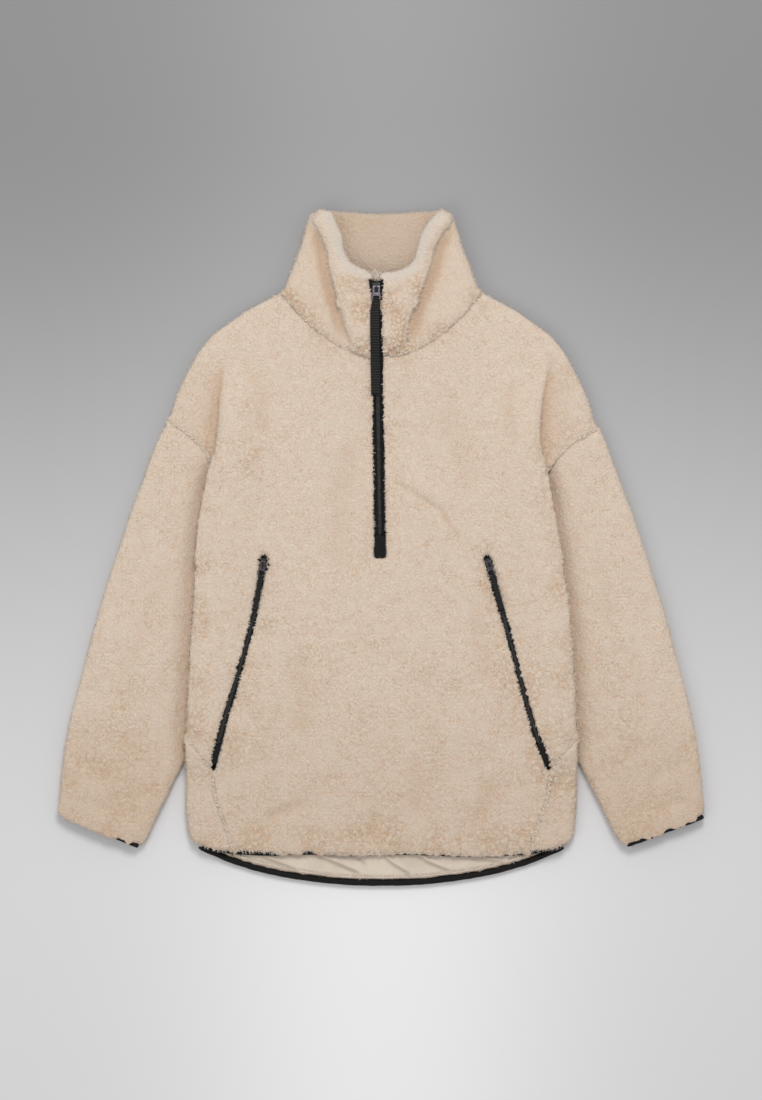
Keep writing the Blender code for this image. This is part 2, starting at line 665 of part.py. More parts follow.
def build_front():
    """The front: one panel with a slot for the neck zip and a notch for each pocket zip."""
    sides = {}
    for side in (-1, 1):
        slot = pocket_slot(side)
        *upper, seam = half_body(side, neck_line(side))
        lower = gusset_seams(side)[1]
        seam = seam[distance(seam, slot[:2]) > POCKET_SLOT / 2]
        lower = lower[distance(lower, slot[-2:]) > POCKET_SLOT / 2]
        sides[side] = upper + [seam[seam[:, 1] > slot[0][1]], slot, lower[lower[:, 1] < slot[-1][1]]]
    outline = joined(zip_notch(), *sides[1], smooth_line(FRONT_HEM)[::-1],
                     *[line[::-1] for line in sides[-1][::-1]])
    seams = [zip_notch()]
    for side in (-1, 1):
        seams += [armhole_line(side), neck_line(side), pocket_slot(side), *gusset_seams(side)]
    borders = fold_borders() + [Border(seam, SEAM_ROUND, SEAM_RIM) for seam in seams]
    borders.append(Border(smooth_line(FRONT_HEM), HEM_ROUND, HEM_RIM))
    folds = []
    for side in (-1, 1):
        fold = body_edge_line(side, *TUCK_FOLD)
        folds += [fold - (side * depth, 0) for depth in FOLD_LINES]
    over = rounded(front_over, front_under, borders)
    mesh = layer(outline, over, front_under, lines=folds + ramp_lines(RAMP),
                 under_lines=ramp_lines(PLAIN_RAMP), under_rings=(0.0110,))
    finish("front_panel", mesh, "sherpa")


def back_under(xy):
    """Underside of the back, on the floor and on the edges of the sleeves."""
    return sleeve_rise(xy)


def back_over(xy):
    """Top of the back."""
    return sleeve_rise(xy) + FLEECE


def build_back():
    """The back: longer at the hem, and flat on the floor but for its edges on the sleeves."""
    sides = [half_body(side, on_side(side, smooth_line(BACK_NECK))) + [gusset_seams(side)[1][:-1]]
             for side in (1, -1)]
    outline = joined(*sides[0], smooth_line(BACK_HEM)[::-1], *[line[::-1] for line in sides[1][::-1]])
    under = rounded_below(back_under, back_over, fold_borders())
    mesh = layer(outline, back_over, under, cell=PLAIN_CELL, under_cell=1.3 * CELL, rings=(),
                 under_rings=BORDER_RINGS, lines=ramp_lines(PLAIN_RAMP),
                 under_lines=ramp_lines(PLAIN_RAMP))
    finish("back_panel", mesh, "sherpa")


def build_gusset(side, name):
    """The lower side panel: it goes round the side fold from the front to the back."""
    upper_edge = body_edge_line(side, GUSSET_UPPER[0].y, -0.3300, step=0.016)
    edge = joined(upper_edge, on_side(side, smooth_line(HEM_CORNER)))
    seam = joined(*gusset_seams(side))[::-1]
    seam[-1] = edge[0]
    front_corner = on_side(side, smooth_line(FRONT_CORNER))
    back_corner = on_side(side, smooth_line(BACK_CORNER))
    back_seam = np.vstack([back_corner[-1:], seam[1:]])
    fold = Border(edge, FOLD_ROUND, FOLD_RIM)

    def front_floor(xy):
        meet = back_over(xy)
        open_by = ease(FOLD_JOIN, FOLD_JOIN + 0.006, distance(xy, edge))
        return meet + SEAM_GAP + (front_under(xy) - meet - SEAM_GAP) * open_by

    over = rounded(front_over, front_under, [fold, Border(seam, SEAM_ROUND, SEAM_RIM)])
    under = rounded_below(back_under, back_over, [fold])
    folded(name, [
        Layer([Run(edge, "side"), Run(front_corner, None), Run(seam, None)], over, front_floor,
              inner_cell=CELL, inner_rings=INNER_RING),
        Layer([Run(edge, "side"), Run(back_corner, None), Run(back_seam, None)], under, back_over,
              inner_cell=CELL),
    ], "sherpa")


def build_lining():
    """The woven lining of the back, where it shows between the two hems."""
    hem = smooth_line(LINING_HEM)
    top = np.array([LINING_TOP, (0.0, LINING_TOP.y)])
    outline = joined(hem, top, on_side(-1, top[:1]), on_side(-1, hem)[::-1])

    def under(xy):
        return back_over(xy) + SEAM_GAP

    def over(xy):
        return under(xy) + LINING

    finish("back_lining", layer(outline, over, under, rings=()), "lining")


# ---------------------------------------------------------------- the sleeves
def sleeve_height(xy):
    """Top of a sleeve: pressed flat under the body's edge, full beyond it."""
    free = np.maximum(ease(0.0, PRESSED, -edge_depth(xy)), ease(*RISE_TOP, xy[:, 1]))
    right = np.column_stack([np.abs(xy[:, 0]), xy[:, 1]])
    return SLEEVE_FLAT + (SLEEVE_FULL - SLEEVE_FLAT + creased(right, SLEEVE_CREASES)) * free


def cuff_line(side):
    """The edge of a cuff, from the sleeve's outer fold round to its inner one."""
    return on_side(side, smooth_line(CUFF[side], 0.012))


def cuff_mouth(cuff):
    """The open part of a cuff's edge, between its two corners."""
    return cuff[CUFF_CORNER - 1:1 - CUFF_CORNER]


def build_sleeve(side, name):
    """A sleeve: one cut piece folded along its outer edge and closed by the underarm seam."""
    armhole = armhole_line(side)
    tip = ARMHOLE[side][-1]
    steps = [Point(tip.x + step.x, tip.y + step.y) for step in UNDERARM]
    underarm = on_side(side, smooth_line([tip, *steps, SLEEVE_INNER[-1]]))
    outer = on_side(side, smooth_line(SLEEVE_OUTER))
    outer[0] = armhole[0]
    cuff = cuff_line(side)
    mouth = cuff_mouth(cuff)
    inner = on_side(side, smooth_line([Point(abs(cuff[-1][0]), cuff[-1][1])] + SLEEVE_INNER[1:]))
    outer_fold = np.vstack([outer, cuff[1:CUFF_CORNER]])
    inner_fold = joined(cuff[-CUFF_CORNER:], inner, underarm[::-1])
    folds = [outer_fold, inner_fold]
    borders = [Border(fold, FOLD_ROUND, FOLD_RIM) for fold in folds]

    def upper_floor(xy):
        return (sleeve_height(xy) + SLEEVE_GAP) / 2

    def lower_roof(xy):
        return (sleeve_height(xy) - SLEEVE_GAP) / 2

    seams = [Border(armhole, SEAM_ROUND, SEAM_RIM), Border(mouth, CUFF_ROUND, CUFF_RIM)]
    over = rounded(sleeve_height, upper_floor, borders + seams)
    under = rounded_below(flat(0.0), lower_roof, borders)
    edge = body_edge_line(side, RISE_TOP[0], -0.340, step=0.025)
    press = [edge + (side * out, 0) for out in np.linspace(0.0, PRESSED, 4)]
    runs = [Run(outer_fold, "outer"), Run(mouth, None), Run(inner_fold, "inner"),
            Run(armhole[::-1], None)]
    folded(name, [
        Layer(runs, over, upper_floor, inner_rings=INNER_RING, lines=press, inner_lines=press),
        Layer(runs, under, lower_roof, cell=PLAIN_CELL, inner_rings=INNER_RING, inner_lines=press),
    ], "sherpa")


# ---------------------------------------------------------------- the collar
FOLD_X = {side: np.array([(p.y, p.x) for p in COLLAR_FOLD[side][::-1]]) for side in (-1, 1)}


def fold_depth(xy):
    """How far each point is inside the folded front of the collar, negative on its sides."""
    left = xy[:, 0] + np.interp(xy[:, 1], *FOLD_X[-1].T)
    right = np.interp(xy[:, 1], *FOLD_X[1].T) - xy[:, 0]
    return np.minimum(left, right)


def collar_over(xy):
    """Top of the front of the collar, with the step where it is folded over its sides."""
    depth, up = fold_depth(xy), ease(*COLLAR_FOOT, xy[:, 1])
    step = COLLAR_STEP * quarter(depth / FOLD_ROUND) * (depth > 0)
    return COLLAR_TOP - COLLAR_DIP * (1 - up) + step * (STEP_AT_SEAM + (1 - STEP_AT_SEAM) * up)


def collar_under(xy):
    """Underside of the front of the collar, over the neck opening."""
    step = COLLAR_STEP * ease(*UNDER_STEP, fold_depth(xy))
    return COLLAR_UNDER + step * ease(*COLLAR_FOOT, xy[:, 1])


def collar_slot(side):
    """One side of the zip's slot in the collar, from the neck seam up to the rim, where it closes."""
    return np.array([(zip_x(row.y) + side * row.half, row.y) for row in COLLAR_SLOT])


def build_collar():
    """The collar: one band from zip to zip, its front lying on its back, open at the neck."""
    ends = {side: on_side(side, smooth_line(COLLAR_SIDE, 0.013)) for side in (-1, 1)}
    top = smooth_line(COLLAR_BACK_TOP)
    neck = joined(on_side(-1, smooth_line(BACK_NECK))[::-1], smooth_line(BACK_NECK))

    floor, roof = flat(0.0), flat(COLLAR_WALL)
    folds = [Border(ends[side], FOLD_ROUND, FOLD_RIM) for side in (-1, 1)]
    layers = [Layer(
        [Run(ends[1], "right"), Run(top[::-1], None), Run(ends[-1][::-1], "left"), Run(neck, None)],
        rounded_below(floor, roof, folds), rounded(roof, floor, [Border(top, CUFF_ROUND, CUFF_RIM)]),
        inner_rings=BORDER_RINGS[:1] + INNER_RING)]

    rim = smooth_line(COLLAR_RIM, 0.011)
    for side, key in ((-1, "left"), (1, "right")):
        slot = collar_slot(side)
        half_rim = rim[side * (rim[:, 0] - slot[-1][0]) > RIM_CLEAR]
        if side > 0:
            half_rim = half_rim[::-1]
        half_rim = np.vstack([ends[side][-1:], half_rim, slot[-1:]])
        slot = np.vstack([slot[::-1], neck_line(side)[:1]])

        def under_front(xy, edge=ends[side]):
            open_by = ease(FOLD_JOIN, FOLD_JOIN + 0.006, distance(xy, edge))
            return COLLAR_WALL + SEAM_GAP + (collar_under(xy) - COLLAR_WALL - SEAM_GAP) * open_by

        borders = [Border(ends[side], FOLD_ROUND, FOLD_RIM), Border(half_rim[1:], RIM_ROUND, RIM_LEFT),
                   Border(neck_line(side), SEAM_ROUND, SEAM_RIM), Border(slot, SEAM_ROUND, SEAM_RIM)]
        fold = on_side(side, smooth_line(COLLAR_FOLD[side], 0.014))
        lines = [fold - (side * depth, 0) for depth in FOLD_LINES]
        under_lines = [fold - (side * depth, 0) for depth in UNDER_STEP]
        layers.append(Layer(
            [Run(neck_line(side), None), Run(ends[side], key), Run(half_rim, None), Run(slot, None)],
            rounded(collar_over, under_front, borders), under_front, cell=0.75 * CELL, inner_cell=CELL,
            inner_rings=INNER_RING, lines=lines, inner_lines=under_lines))
    folded("collar", layers, "sherpa")


# ---------------------------------------------------------------- bindings
def bound_edge(line, height, radius, outward):
    """The middle line of a binding rolled over an edge, just outside it."""
    run = np.gradient(line, axis=0)
    run = run / np.linalg.norm(run, axis=1)[:, None]
    out = np.stack([-run[:, 1], run[:, 0]], axis=1) * outward
    xy = line + out * (radius + SEAM_GAP)
    return np.column_stack([xy, np.broadcast_to(height, len(xy))])


def build_hem_bindings():
    """The rolled bindings of the two hems, which taper into the side corners."""
    back = joined(on_side(-1, smooth_line(BACK_CORNER)), smooth_line(BACK_HEM),
                  on_side(1, smooth_line(BACK_CORNER))[::-1])
    front = joined(on_side(-1, smooth_line(FRONT_CORNER)), smooth_line(FRONT_HEM),
                   on_side(1, smooth_line(FRONT_CORNER))[::-1])
    for name, line, binding in (
        ("hem_binding_back", back, BACK_BINDING),
        ("hem_binding_front", front, FRONT_BINDING),
    ):
        taper = ease(FRONT_HEM[-1].x, FRONT_CORNER[0].x, np.abs(line[:, 0]))
        height = binding.middle + (binding.corner - binding.middle) * taper
        points = bound_edge(line, height, binding.radius, -1)
        tube(name, points, binding.radius, "black_trim", radii=1 - BINDING_TAPER * taper)


def build_cuff_binding(side, name):
    """The binding round a cuff, flattened with it: along the upper layer and back along the lower."""
    line = cuff_mouth(cuff_line(side))
    upper, lower = [bound_edge(line, share * SLEEVE_FULL, TRIM_BINDING, side) for share in CUFF_LEVELS]
    tube(name, np.vstack([upper, lower[::-1]]), TRIM_BINDING, "black_trim", cyclic=True)


# ---------------------------------------------------------------- zips
def smoothed(height, window):
    """Heights along a line with its steps evened out, as a tape lies over them."""
    spread = np.ones(window) / window
    padded = np.pad(height, window // 2, mode="edge")
    return np.convolve(padded, spread, mode="valid")


def neck_zip_bed(y):
    """Height of the neck zip's tape at each y."""
    rows = np.arange(ZIP_END_Y - 0.004, ZIP_TOP_Y + 0.012, 0.002)
    xy = np.stack([zip_x(rows), rows], axis=1)
    height = np.where(rows > NECK_SEAM[0].y, collar_over(xy), front_over(xy))
    return np.interp(y, rows, smoothed(height, 13)) - ZIP_RECESS


def pocket_bed(xy):
    """Height of a pocket zip's tape at each point."""
    return front_over(xy) - POCKET_RECESS


def welded_mesh(thing):
    """The closed mesh of a curve object, which is removed."""
    graph = bpy.context.evaluated_depsgraph_get()
    mesh = bpy.data.meshes.new_from_object(thing.evaluated_get(graph))
    bpy.data.objects.remove(thing)
    bm = bmesh.new()
    bm.from_mesh(mesh)
    bmesh.ops.remove_doubles(bm, verts=bm.verts, dist=1e-5)
    bmesh.ops.recalc_face_normals(bm, faces=bm.faces)
    bm.to_mesh(mesh)
    bm.free()
    mesh.materials.clear()
    return mesh


def as_tool(name, mesh):
    """A hidden object that a Boolean joins to, or cuts from, another."""
    tool = bpy.data.objects.new(name, mesh)
    TOOLS.objects.link(tool)
    tool.hide_render = True
    tool.display_type = "WIRE"
    return tool


def swept(name, points, outline, material):
    """A strip with the given cross-section, laid along points with its outline's +Y upwards."""
    profile = bpy.data.curves.new(f"{name}_profile", "CURVE")
    spline = profile.splines.new("POLY")
    spline.points.add(len(outline) - 1)
    spline.use_cyclic_u = True
    for point, (x, y) in zip(spline.points, outline):
        point.co = (x, y, 0, 1)
    guide = as_tool(f"{name}_profile", profile)
    curve = bpy.data.curves.new(name, "CURVE")
    curve.dimensions = "3D"
    curve.twist_mode = "Z_UP"
    curve.bevel_mode = "OBJECT"
    curve.bevel_object = guide
    curve.use_fill_caps = True
    path = curve.splines.new("POLY")
    path.points.add(len(points) - 1)
    for place, point in zip(path.points, points):
        place.co = (*point, 1)
    return finish(name, welded_mesh(finish(name, curve, material)), material)


def tape_outline(width):
    """Cross-section of a closed zip: the flat tape with the coil raised along its middle."""
    half, coil = width / 2, CHAIN_WIDTH / 2
    crest = 0.7 * coil
    return [(-half, -TAPE), (half, -TAPE), (half, 0), (coil, 0), (crest, CHAIN_HEIGHT),
            (-crest, CHAIN_HEIGHT), (-coil, 0), (-half, 0)]


def patch_outline(width):
    """Cross-section of the folded cloth over the end of a zip, its corners eased."""
    half = width / 2
    top, shoulder = half - PATCH_EDGE, PATCH - PATCH_EDGE
    return [(-half, -TAPE), (half, -TAPE), (half, shoulder), (top, PATCH), (-top, PATCH), (-half, shoulder)]


def block_mesh(size, middle):
    """A box as a mesh."""
    bm = bmesh.new()
    bmesh.ops.create_cube(bm, size=1)
    bmesh.ops.scale(bm, vec=size, verts=bm.verts)
    bmesh.ops.translate(bm, vec=middle, verts=bm.verts)
    mesh = bpy.data.meshes.new("block")
    bm.to_mesh(mesh)
    bm.free()
    return mesh


def box(name, size, middle, bevel):
    """A metal block with its edges rounded."""
    block = finish(name, block_mesh(size, middle), "gunmetal")
    rounding = block.modifiers.new("Round", "BEVEL")
    rounding.width = bevel
    rounding.segments = 1
    return block


def cut(block, size, middle):
    """Cuts a box-shaped hole or channel from a block."""
    number = len(block.modifiers)
    cutter = as_tool(f"{block.name}_cutter_{number}", block_mesh(size, middle))
    hole = block.modifiers.new("Cut", "BOOLEAN")
    hole.operation = "DIFFERENCE"
    hole.object = cutter
    return cutter


def placed(things, where, turn):
    """Moves things that were built about the origin to their place on a zip."""
    for thing in things:
        thing.location = where
        thing.rotation_euler = (0, 0, turn)


def build_slider(name, kind, where, turn):
    """A slider: two plates round the chain, joined above it by a neck, and a crown for the pull.

    It is built about its pull's hinge axis, X, with the zip running down to -Y.
    """
    top = -HINGE_HEIGHT
    bed = top - kind.plate - CHAIN_HEIGHT - CHANNEL_CLEAR
    bottom = bed - TAPE - CHANNEL_CLEAR - kind.plate
    middle = (0, -0.10 * kind.length, (top + bottom) / 2)
    body = box(name, (kind.width, kind.length, top - bottom), middle, 0.0006)
    channel_y = 0.12 * kind.length - CHANNEL_REACH / 2
    cutters = [
        cut(body, (2 * kind.width, CHANNEL_REACH, TAPE + 2 * CHANNEL_CLEAR),
            (0, channel_y, bed - TAPE / 2)),
        cut(body, (CHAIN_WIDTH + 2 * CHANNEL_CLEAR, CHANNEL_REACH, CHAIN_HEIGHT + 2 * CHANNEL_CLEAR),
            (0, channel_y, bed + CHAIN_HEIGHT / 2)),
    ]
    arch = [(0, 0.0030, top - 0.0006), (0, 0.0030, 0.0008), (0, 0.0020, 0.0017), (0, -0.0020, 0.0017),
            (0, -0.0030, 0.0008), (0, -0.0030, top - 0.0006)]
    crown = as_tool(f"{name}_crown", welded_mesh(tube(f"{name}_crown", arch, kind.crown, "gunmetal")))
    join = body.modifiers.new("Crown", "BOOLEAN")
    join.operation = "UNION"
    join.object = crown
    placed([body, crown] + cutters, where, turn)


def build_pull(name, kind, where, turn):
    """A flat pull: a hole at the top for the crown, a slot at the bottom for its ribbon."""
    length = kind.pull_length
    pull = box(name, (kind.pull_width, length, ROD), (0, (ROD - length) / 2, 0), 0.0004)
    through = 0.010
    hole_width, slot_width = kind.pull_width - 2 * PULL_RAIL, kind.pull_width - 2 * SLOT_RAIL
    cutters = [cut(pull, (hole_width, kind.hole, through), (0, -(ROD + kind.hole) / 2, 0))]
    if kind.ring:
        angles = np.radians(np.arange(0, 360, 24))
        loop = [(kind.ring.x * math.cos(a), ring_y(kind) + kind.ring.y * math.sin(a), 0) for a in angles]
        wire = tube(f"{name}_ring", loop, ROD / 2, "gunmetal", cyclic=True, sides=1)
        ring = as_tool(f"{name}_ring", welded_mesh(wire))
        join = pull.modifiers.new("Ring", "BOOLEAN")
        join.operation = "UNION"
        join.object = ring
        cutters.append(ring)
    else:
        slot_y = 1.5 * ROD - length + SLOT_HEIGHT / 2
        cutters.append(cut(pull, (slot_width, SLOT_HEIGHT, through), (0, slot_y, 0)))
    placed([pull] + cutters, where, turn)


def ring_y(kind):
    """Where the middle of a pull's ring is: its top runs through the end of the flat pull."""
    return ROD - kind.pull_length - kind.ring.y


def doubled_strip(name, bar_y, strip, drop, where, turn):
    """A strip of webbing looped through a pull and lying double below it.

    It is an open surface along the strip's path, made solid afterwards. drop(d) is the height of
    the strip against the pull's bar at a distance d from it.
    """
    loop = ROD / 2 + strip.room + WEBBING / 2
    fold = (WEBBING_GAP + WEBBING) / 2
    down = np.linspace(WEBBING_BEND, strip.length, 12)
    path = [(bar_y - d, fold + drop(d)) for d in down[::-1]]
    arc = np.radians(np.linspace(150, -150, 7))
    path += [(bar_y + loop * math.cos(a), loop * math.sin(a)) for a in arc]
    path += [(bar_y - d, -fold + drop(d)) for d in down]
    bm = bmesh.new()
    rows = []
    for y, z in path:
        half = 0.5 * np.interp(bar_y - y, (0.0, WEBBING_BEND), (strip.gathered, strip.width))
        rows.append([bm.verts.new((side * half, y, z)) for side in (-1, 1)])
    for (a, b), (c, d) in zip(rows, rows[1:]):
        bm.faces.new((a, b, d, c))
    mesh = bpy.data.meshes.new(name)
    bm.to_mesh(mesh)
    bm.free()
    webbing = finish(name, mesh, "black_trim")
    solid = webbing.modifiers.new("Thickness", "SOLIDIFY")
    solid.thickness = WEBBING
    solid.offset = 0
    placed([webbing], where, turn)


def build_zip_end(name, kind, where, turn, tape_height, strip):
    """A slider with its pull, and the strip of webbing on the pull."""
    build_slider(f"{name}_slider", kind, where, turn)
    build_pull(f"{name}_pull", kind, where, turn)
    down = np.array([math.sin(turn), -math.cos(turn)])
    bar_y = ring_y(kind) - kind.ring.y if kind.ring else ROD - kind.pull_length

    def drop(d):
        xy = np.array(where[:2]) + down * (d - bar_y)
        settled = float(ease(0.0030, 0.0200, d))
        return (tape_height(xy) + strip.clear + WEBBING + SEAM_GAP - where[2]) * settled

    doubled_strip(f"{name}_ribbon", bar_y, strip, drop, where, turn)


def hinge_lift(kind):
    """Height of a pull's hinge over the tape of its zip."""
    return CHAIN_HEIGHT + SEAM_GAP + kind.plate + HINGE_HEIGHT


def build_neck_zip():
    """The neck zip: tape with its coil, end patch, slider, pull and ribbon."""
    width = ZIP_SLOT - 2 * SEAM_GAP
    for name, outline, top, bottom, count in (
        ("neck_zip_tape", tape_outline(width), NECK_HINGE_Y + 0.0006, NECK_PATCH_Y + SEAM_GAP, 26),
        ("neck_zip_patch", patch_outline(width - SEAM_GAP), NECK_PATCH_Y, ZIP_END_Y + 0.0010, 4),
    ):
        rows = np.linspace(top, bottom, count)
        swept(name, np.column_stack([zip_x(rows), rows, neck_zip_bed(rows)]), outline, "black_trim")
    hinge_z = float(neck_zip_bed(NECK_HINGE_Y)) + hinge_lift(MAIN)
    where = (zip_x(NECK_HINGE_Y), NECK_HINGE_Y, hinge_z)
    build_zip_end("neck_zip", MAIN, where, 0, lambda xy: float(neck_zip_bed(xy[1])), RIBBON)


def build_pocket_zip(side, name):
    """A pocket zip: tape with its coil, end patch, slider, pull and textile puller."""
    line = pocket_line(side)[::-1]
    width = POCKET_SLOT - 4 * SEAM_GAP

    def on_line(y):
        return np.stack([np.interp(y, line[:, 1], line[:, 0]), y], axis=-1)

    for piece, outline, top, bottom, count in (
        (f"{name}_tape", tape_outline(width), POCKET_HINGE_Y + 0.0006, POCKET_PATCH_Y + SEAM_GAP, 14),
        (f"{name}_patch", patch_outline(width), POCKET_PATCH_Y, POCKET_END_Y, 4),
    ):
        xy = on_line(np.linspace(top, bottom, count))
        swept(piece, np.column_stack([xy, pocket_bed(xy)]), outline, "black_trim")
    hinge, below = on_line(np.array([POCKET_HINGE_Y, POCKET_HINGE_Y - 0.060]))
    turn = math.atan2(below[0] - hinge[0], hinge[1] - below[1])
    base = float(pocket_bed(hinge[None])[0]) + hinge_lift(SMALL)
    build_zip_end(name, SMALL, (*hinge, base), turn, lambda xy: float(pocket_bed(xy[None])[0]), PULLER)


BUILDERS = (build_front, build_back, build_lining, build_collar, build_hem_bindings, build_neck_zip)


def main():
    """Builds every piece, then the ones that each side has."""
    for build in BUILDERS:
        build()
    for side, where in ((-1, "left"), (1, "right")):
        build_gusset(side, f"side_gusset_{where}")
        build_sleeve(side, f"sleeve_{where}")
        build_cuff_binding(side, f"cuff_binding_{where}")
        build_pocket_zip(side, f"pocket_zip_{where}")


for old in list(bpy.data.objects):
    bpy.data.objects.remove(old, do_unlink=True)
GARMENT = bpy.data.collections.new("sherpa_pullover")
TOOLS = bpy.data.collections.new("tools")
bpy.context.scene.collection.children.link(GARMENT)
bpy.context.scene.collection.children.link(TOOLS)
main()
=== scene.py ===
"""Sherpa fleece half-zip pullover, lying flat on its back on a pale floor and seen from above.

Metres, +Z up, collar towards +Y. Each cut piece of cloth is a copy of its solid, rebuilt as an even
mesh, with the curls and crevices of the pile raised from it. Loose locks of pile stand along the
edges. The zips, their sliders and pulls, the bindings and the lining are pieces of their own.
"""

import functools
import itertools
import logging
import math
from collections.abc import Callable
from dataclasses import dataclass
from enum import Enum

import bmesh
import bpy
import numpy as np
from bpy.types import Material, Node, NodeSocket, Object
from mathutils import Matrix, Vector
from mathutils.bvhtree import BVHTree
from numpy import ndarray as Array


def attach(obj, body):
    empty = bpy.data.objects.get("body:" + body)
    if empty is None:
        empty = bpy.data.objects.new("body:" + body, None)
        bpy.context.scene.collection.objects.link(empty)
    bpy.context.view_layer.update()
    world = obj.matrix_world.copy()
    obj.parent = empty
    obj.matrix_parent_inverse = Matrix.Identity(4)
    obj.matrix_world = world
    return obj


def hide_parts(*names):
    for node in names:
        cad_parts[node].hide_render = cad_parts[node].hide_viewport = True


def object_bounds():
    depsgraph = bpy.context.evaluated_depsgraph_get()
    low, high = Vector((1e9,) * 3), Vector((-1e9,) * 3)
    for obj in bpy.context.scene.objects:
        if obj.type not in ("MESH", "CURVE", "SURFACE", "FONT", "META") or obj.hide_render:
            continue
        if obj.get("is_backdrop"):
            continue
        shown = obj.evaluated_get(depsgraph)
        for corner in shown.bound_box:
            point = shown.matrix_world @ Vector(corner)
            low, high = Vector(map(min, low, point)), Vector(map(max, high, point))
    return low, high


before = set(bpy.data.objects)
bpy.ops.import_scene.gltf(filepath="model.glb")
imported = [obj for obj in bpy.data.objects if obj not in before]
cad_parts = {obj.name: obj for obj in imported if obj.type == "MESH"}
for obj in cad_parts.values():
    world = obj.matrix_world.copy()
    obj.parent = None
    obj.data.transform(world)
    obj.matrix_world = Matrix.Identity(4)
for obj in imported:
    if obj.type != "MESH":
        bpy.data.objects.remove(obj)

LOG = logging.getLogger("pullover")
SHELL_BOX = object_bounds()
MERGE = 1e-6            # points this close are one point
TINY = 1e-12            # keeps a length of nothing from dividing
OVERHEAD = 0.06         # a height above the whole garment
WAVE = 0.314            # a wave texture's scale times the length of one wave
FRAME_PIXELS = (762, 1100)
PIXEL = 0.00125         # width of one pixel on the garment


class Slot(Enum):
    """The material slots of the part."""

    SHERPA = "sherpa"
    LINING = "lining"
    TRIM = "black_trim"
    METAL = "gunmetal"


class Body(Enum):
    """What a piece moves with."""

    GARMENT = "garment"
    NECK = "neck_pull"
    LEFT = "pocket_left_pull"
    RIGHT = "pocket_right_pull"


# ---------------------------------------------------------------- noise
def scrambled(cells: Array, seed: int) -> Array:
    """Random numbers that depend only on a cell's whole-numbered place.

    Args:
        cells: Whole-numbered places, one row each.
        seed: Picks one of many sets of numbers.

    Returns:
        A number from 0 to 1 for each row.
    """
    whole = cells.astype(np.int64).astype(np.uint32)
    mixed = whole[:, 0] * np.uint32(0x8DA6B343)
    mixed ^= whole[:, 1] * np.uint32(0xD8163841)
    mixed ^= whole[:, 2] * np.uint32(0xCB1AB31F)
    mixed ^= np.uint32((seed * 0x9E3779B9) & 0xFFFFFFFF)
    for shift, factor in ((15, 0x2C1B3C6D), (12, 0x297A2D39)):
        mixed ^= mixed >> np.uint32(shift)
        mixed *= np.uint32(factor)
    mixed ^= mixed >> np.uint32(15)
    return mixed / 2.0 ** 32


def swell(points: Array, size: float, seed: int) -> Array:
    """Smooth noise.

    Args:
        points: Places, one row each.
        size: How wide its bumps are.
        seed: Picks one of many patterns.

    Returns:
        A value from about -1 to 1 at each place.
    """
    at = points / size
    cell = np.floor(at)
    within = at - cell
    fade = within ** 3 * (within * (6 * within - 15) + 10)
    total = np.zeros(len(at))
    for corner in itertools.product((0, 1), repeat=3):
        turn = 2 * math.pi * scrambled(cell + corner, seed)
        lift = 2 * scrambled(cell + corner, seed + 101) - 1
        level = np.sqrt(1 - lift ** 2)
        away = within - corner
        slope = level * (np.cos(turn) * away[:, 0] + np.sin(turn) * away[:, 1]) + lift * away[:, 2]
        total += slope * np.prod(np.where(corner, fade, 1 - fade), axis=1)
    return 1.5 * total


def two_nearest(points: Array, size: float, seed: int) -> tuple[Array, Array]:
    """How far each place is from the two nearest of many scattered seeds.

    Args:
        points: Places, one row each.
        size: How far apart the seeds are.
        seed: Picks one of many patterns.

    Returns:
        The smaller and the larger distance at each place, as shares of size.
    """
    at = points / size
    cell = np.floor(at)
    first, second = np.full(len(at), np.inf), np.full(len(at), np.inf)
    for step in itertools.product((-1, 0, 1), repeat=3):
        home = cell + step
        spot = home + np.stack([scrambled(home, seed + axis) for axis in range(3)], axis=1)
        away = np.linalg.norm(spot - at, axis=1)
        second = np.minimum(second, np.maximum(first, away))
        first = np.minimum(first, away)
    return first, second


def ease(low: float, high: float, value: Array) -> Array:
    """0 up to low, 1 from high on, and a smooth step between."""
    share = np.clip((value - low) / (high - low), 0, 1)
    return share * share * (3 - 2 * share)


# ---------------------------------------------------------------- lines
def metres(*numbers: float) -> list[float]:
    """Millimetres as metres, to a tenth of a millimetre."""
    return [round(10 * number) / 10000 for number in numbers]


def path(*numbers: float) -> tuple:
    """A line through points, given as x and y in turn in millimetres."""
    flat = metres(*numbers)
    return tuple(zip(flat[::2], flat[1::2]))


def profile(*numbers: float) -> tuple:
    """Lengths along a line, given as a share of the line and millimetres in turn."""
    return tuple(zip(numbers[::2], metres(*numbers[1::2])))


def flipped(line: tuple) -> tuple:
    """The same line on the other side of the garment."""
    return tuple((-x, y) for x, y in line)


def both(line: tuple) -> tuple:
    """A line and its mirror image."""
    return line, flipped(line)


def beside(line: tuple, by: float) -> tuple:
    """The same line moved sideways."""
    return tuple((x + by, y) for x, y in line)


def marks_of(line: tuple) -> Array:
    """How far along a line each of its corners is."""
    return np.concatenate([[0], np.cumsum(np.linalg.norm(np.diff(line, axis=0), axis=1))])


def stations(line: tuple, places: Array) -> tuple[Array, Array]:
    """Points along a line.

    Args:
        line: The line's corners.
        places: How far along the line each point is.

    Returns:
        The points and the line's direction at each of them.
    """
    marks = marks_of(line)
    here, ahead = (
        np.stack([np.interp(places + step, marks, values) for values in np.transpose(line)], axis=1)
        for step in (0, 0.001))
    run = ahead - here
    return here, run / (np.linalg.norm(run, axis=1)[:, None] + TINY)


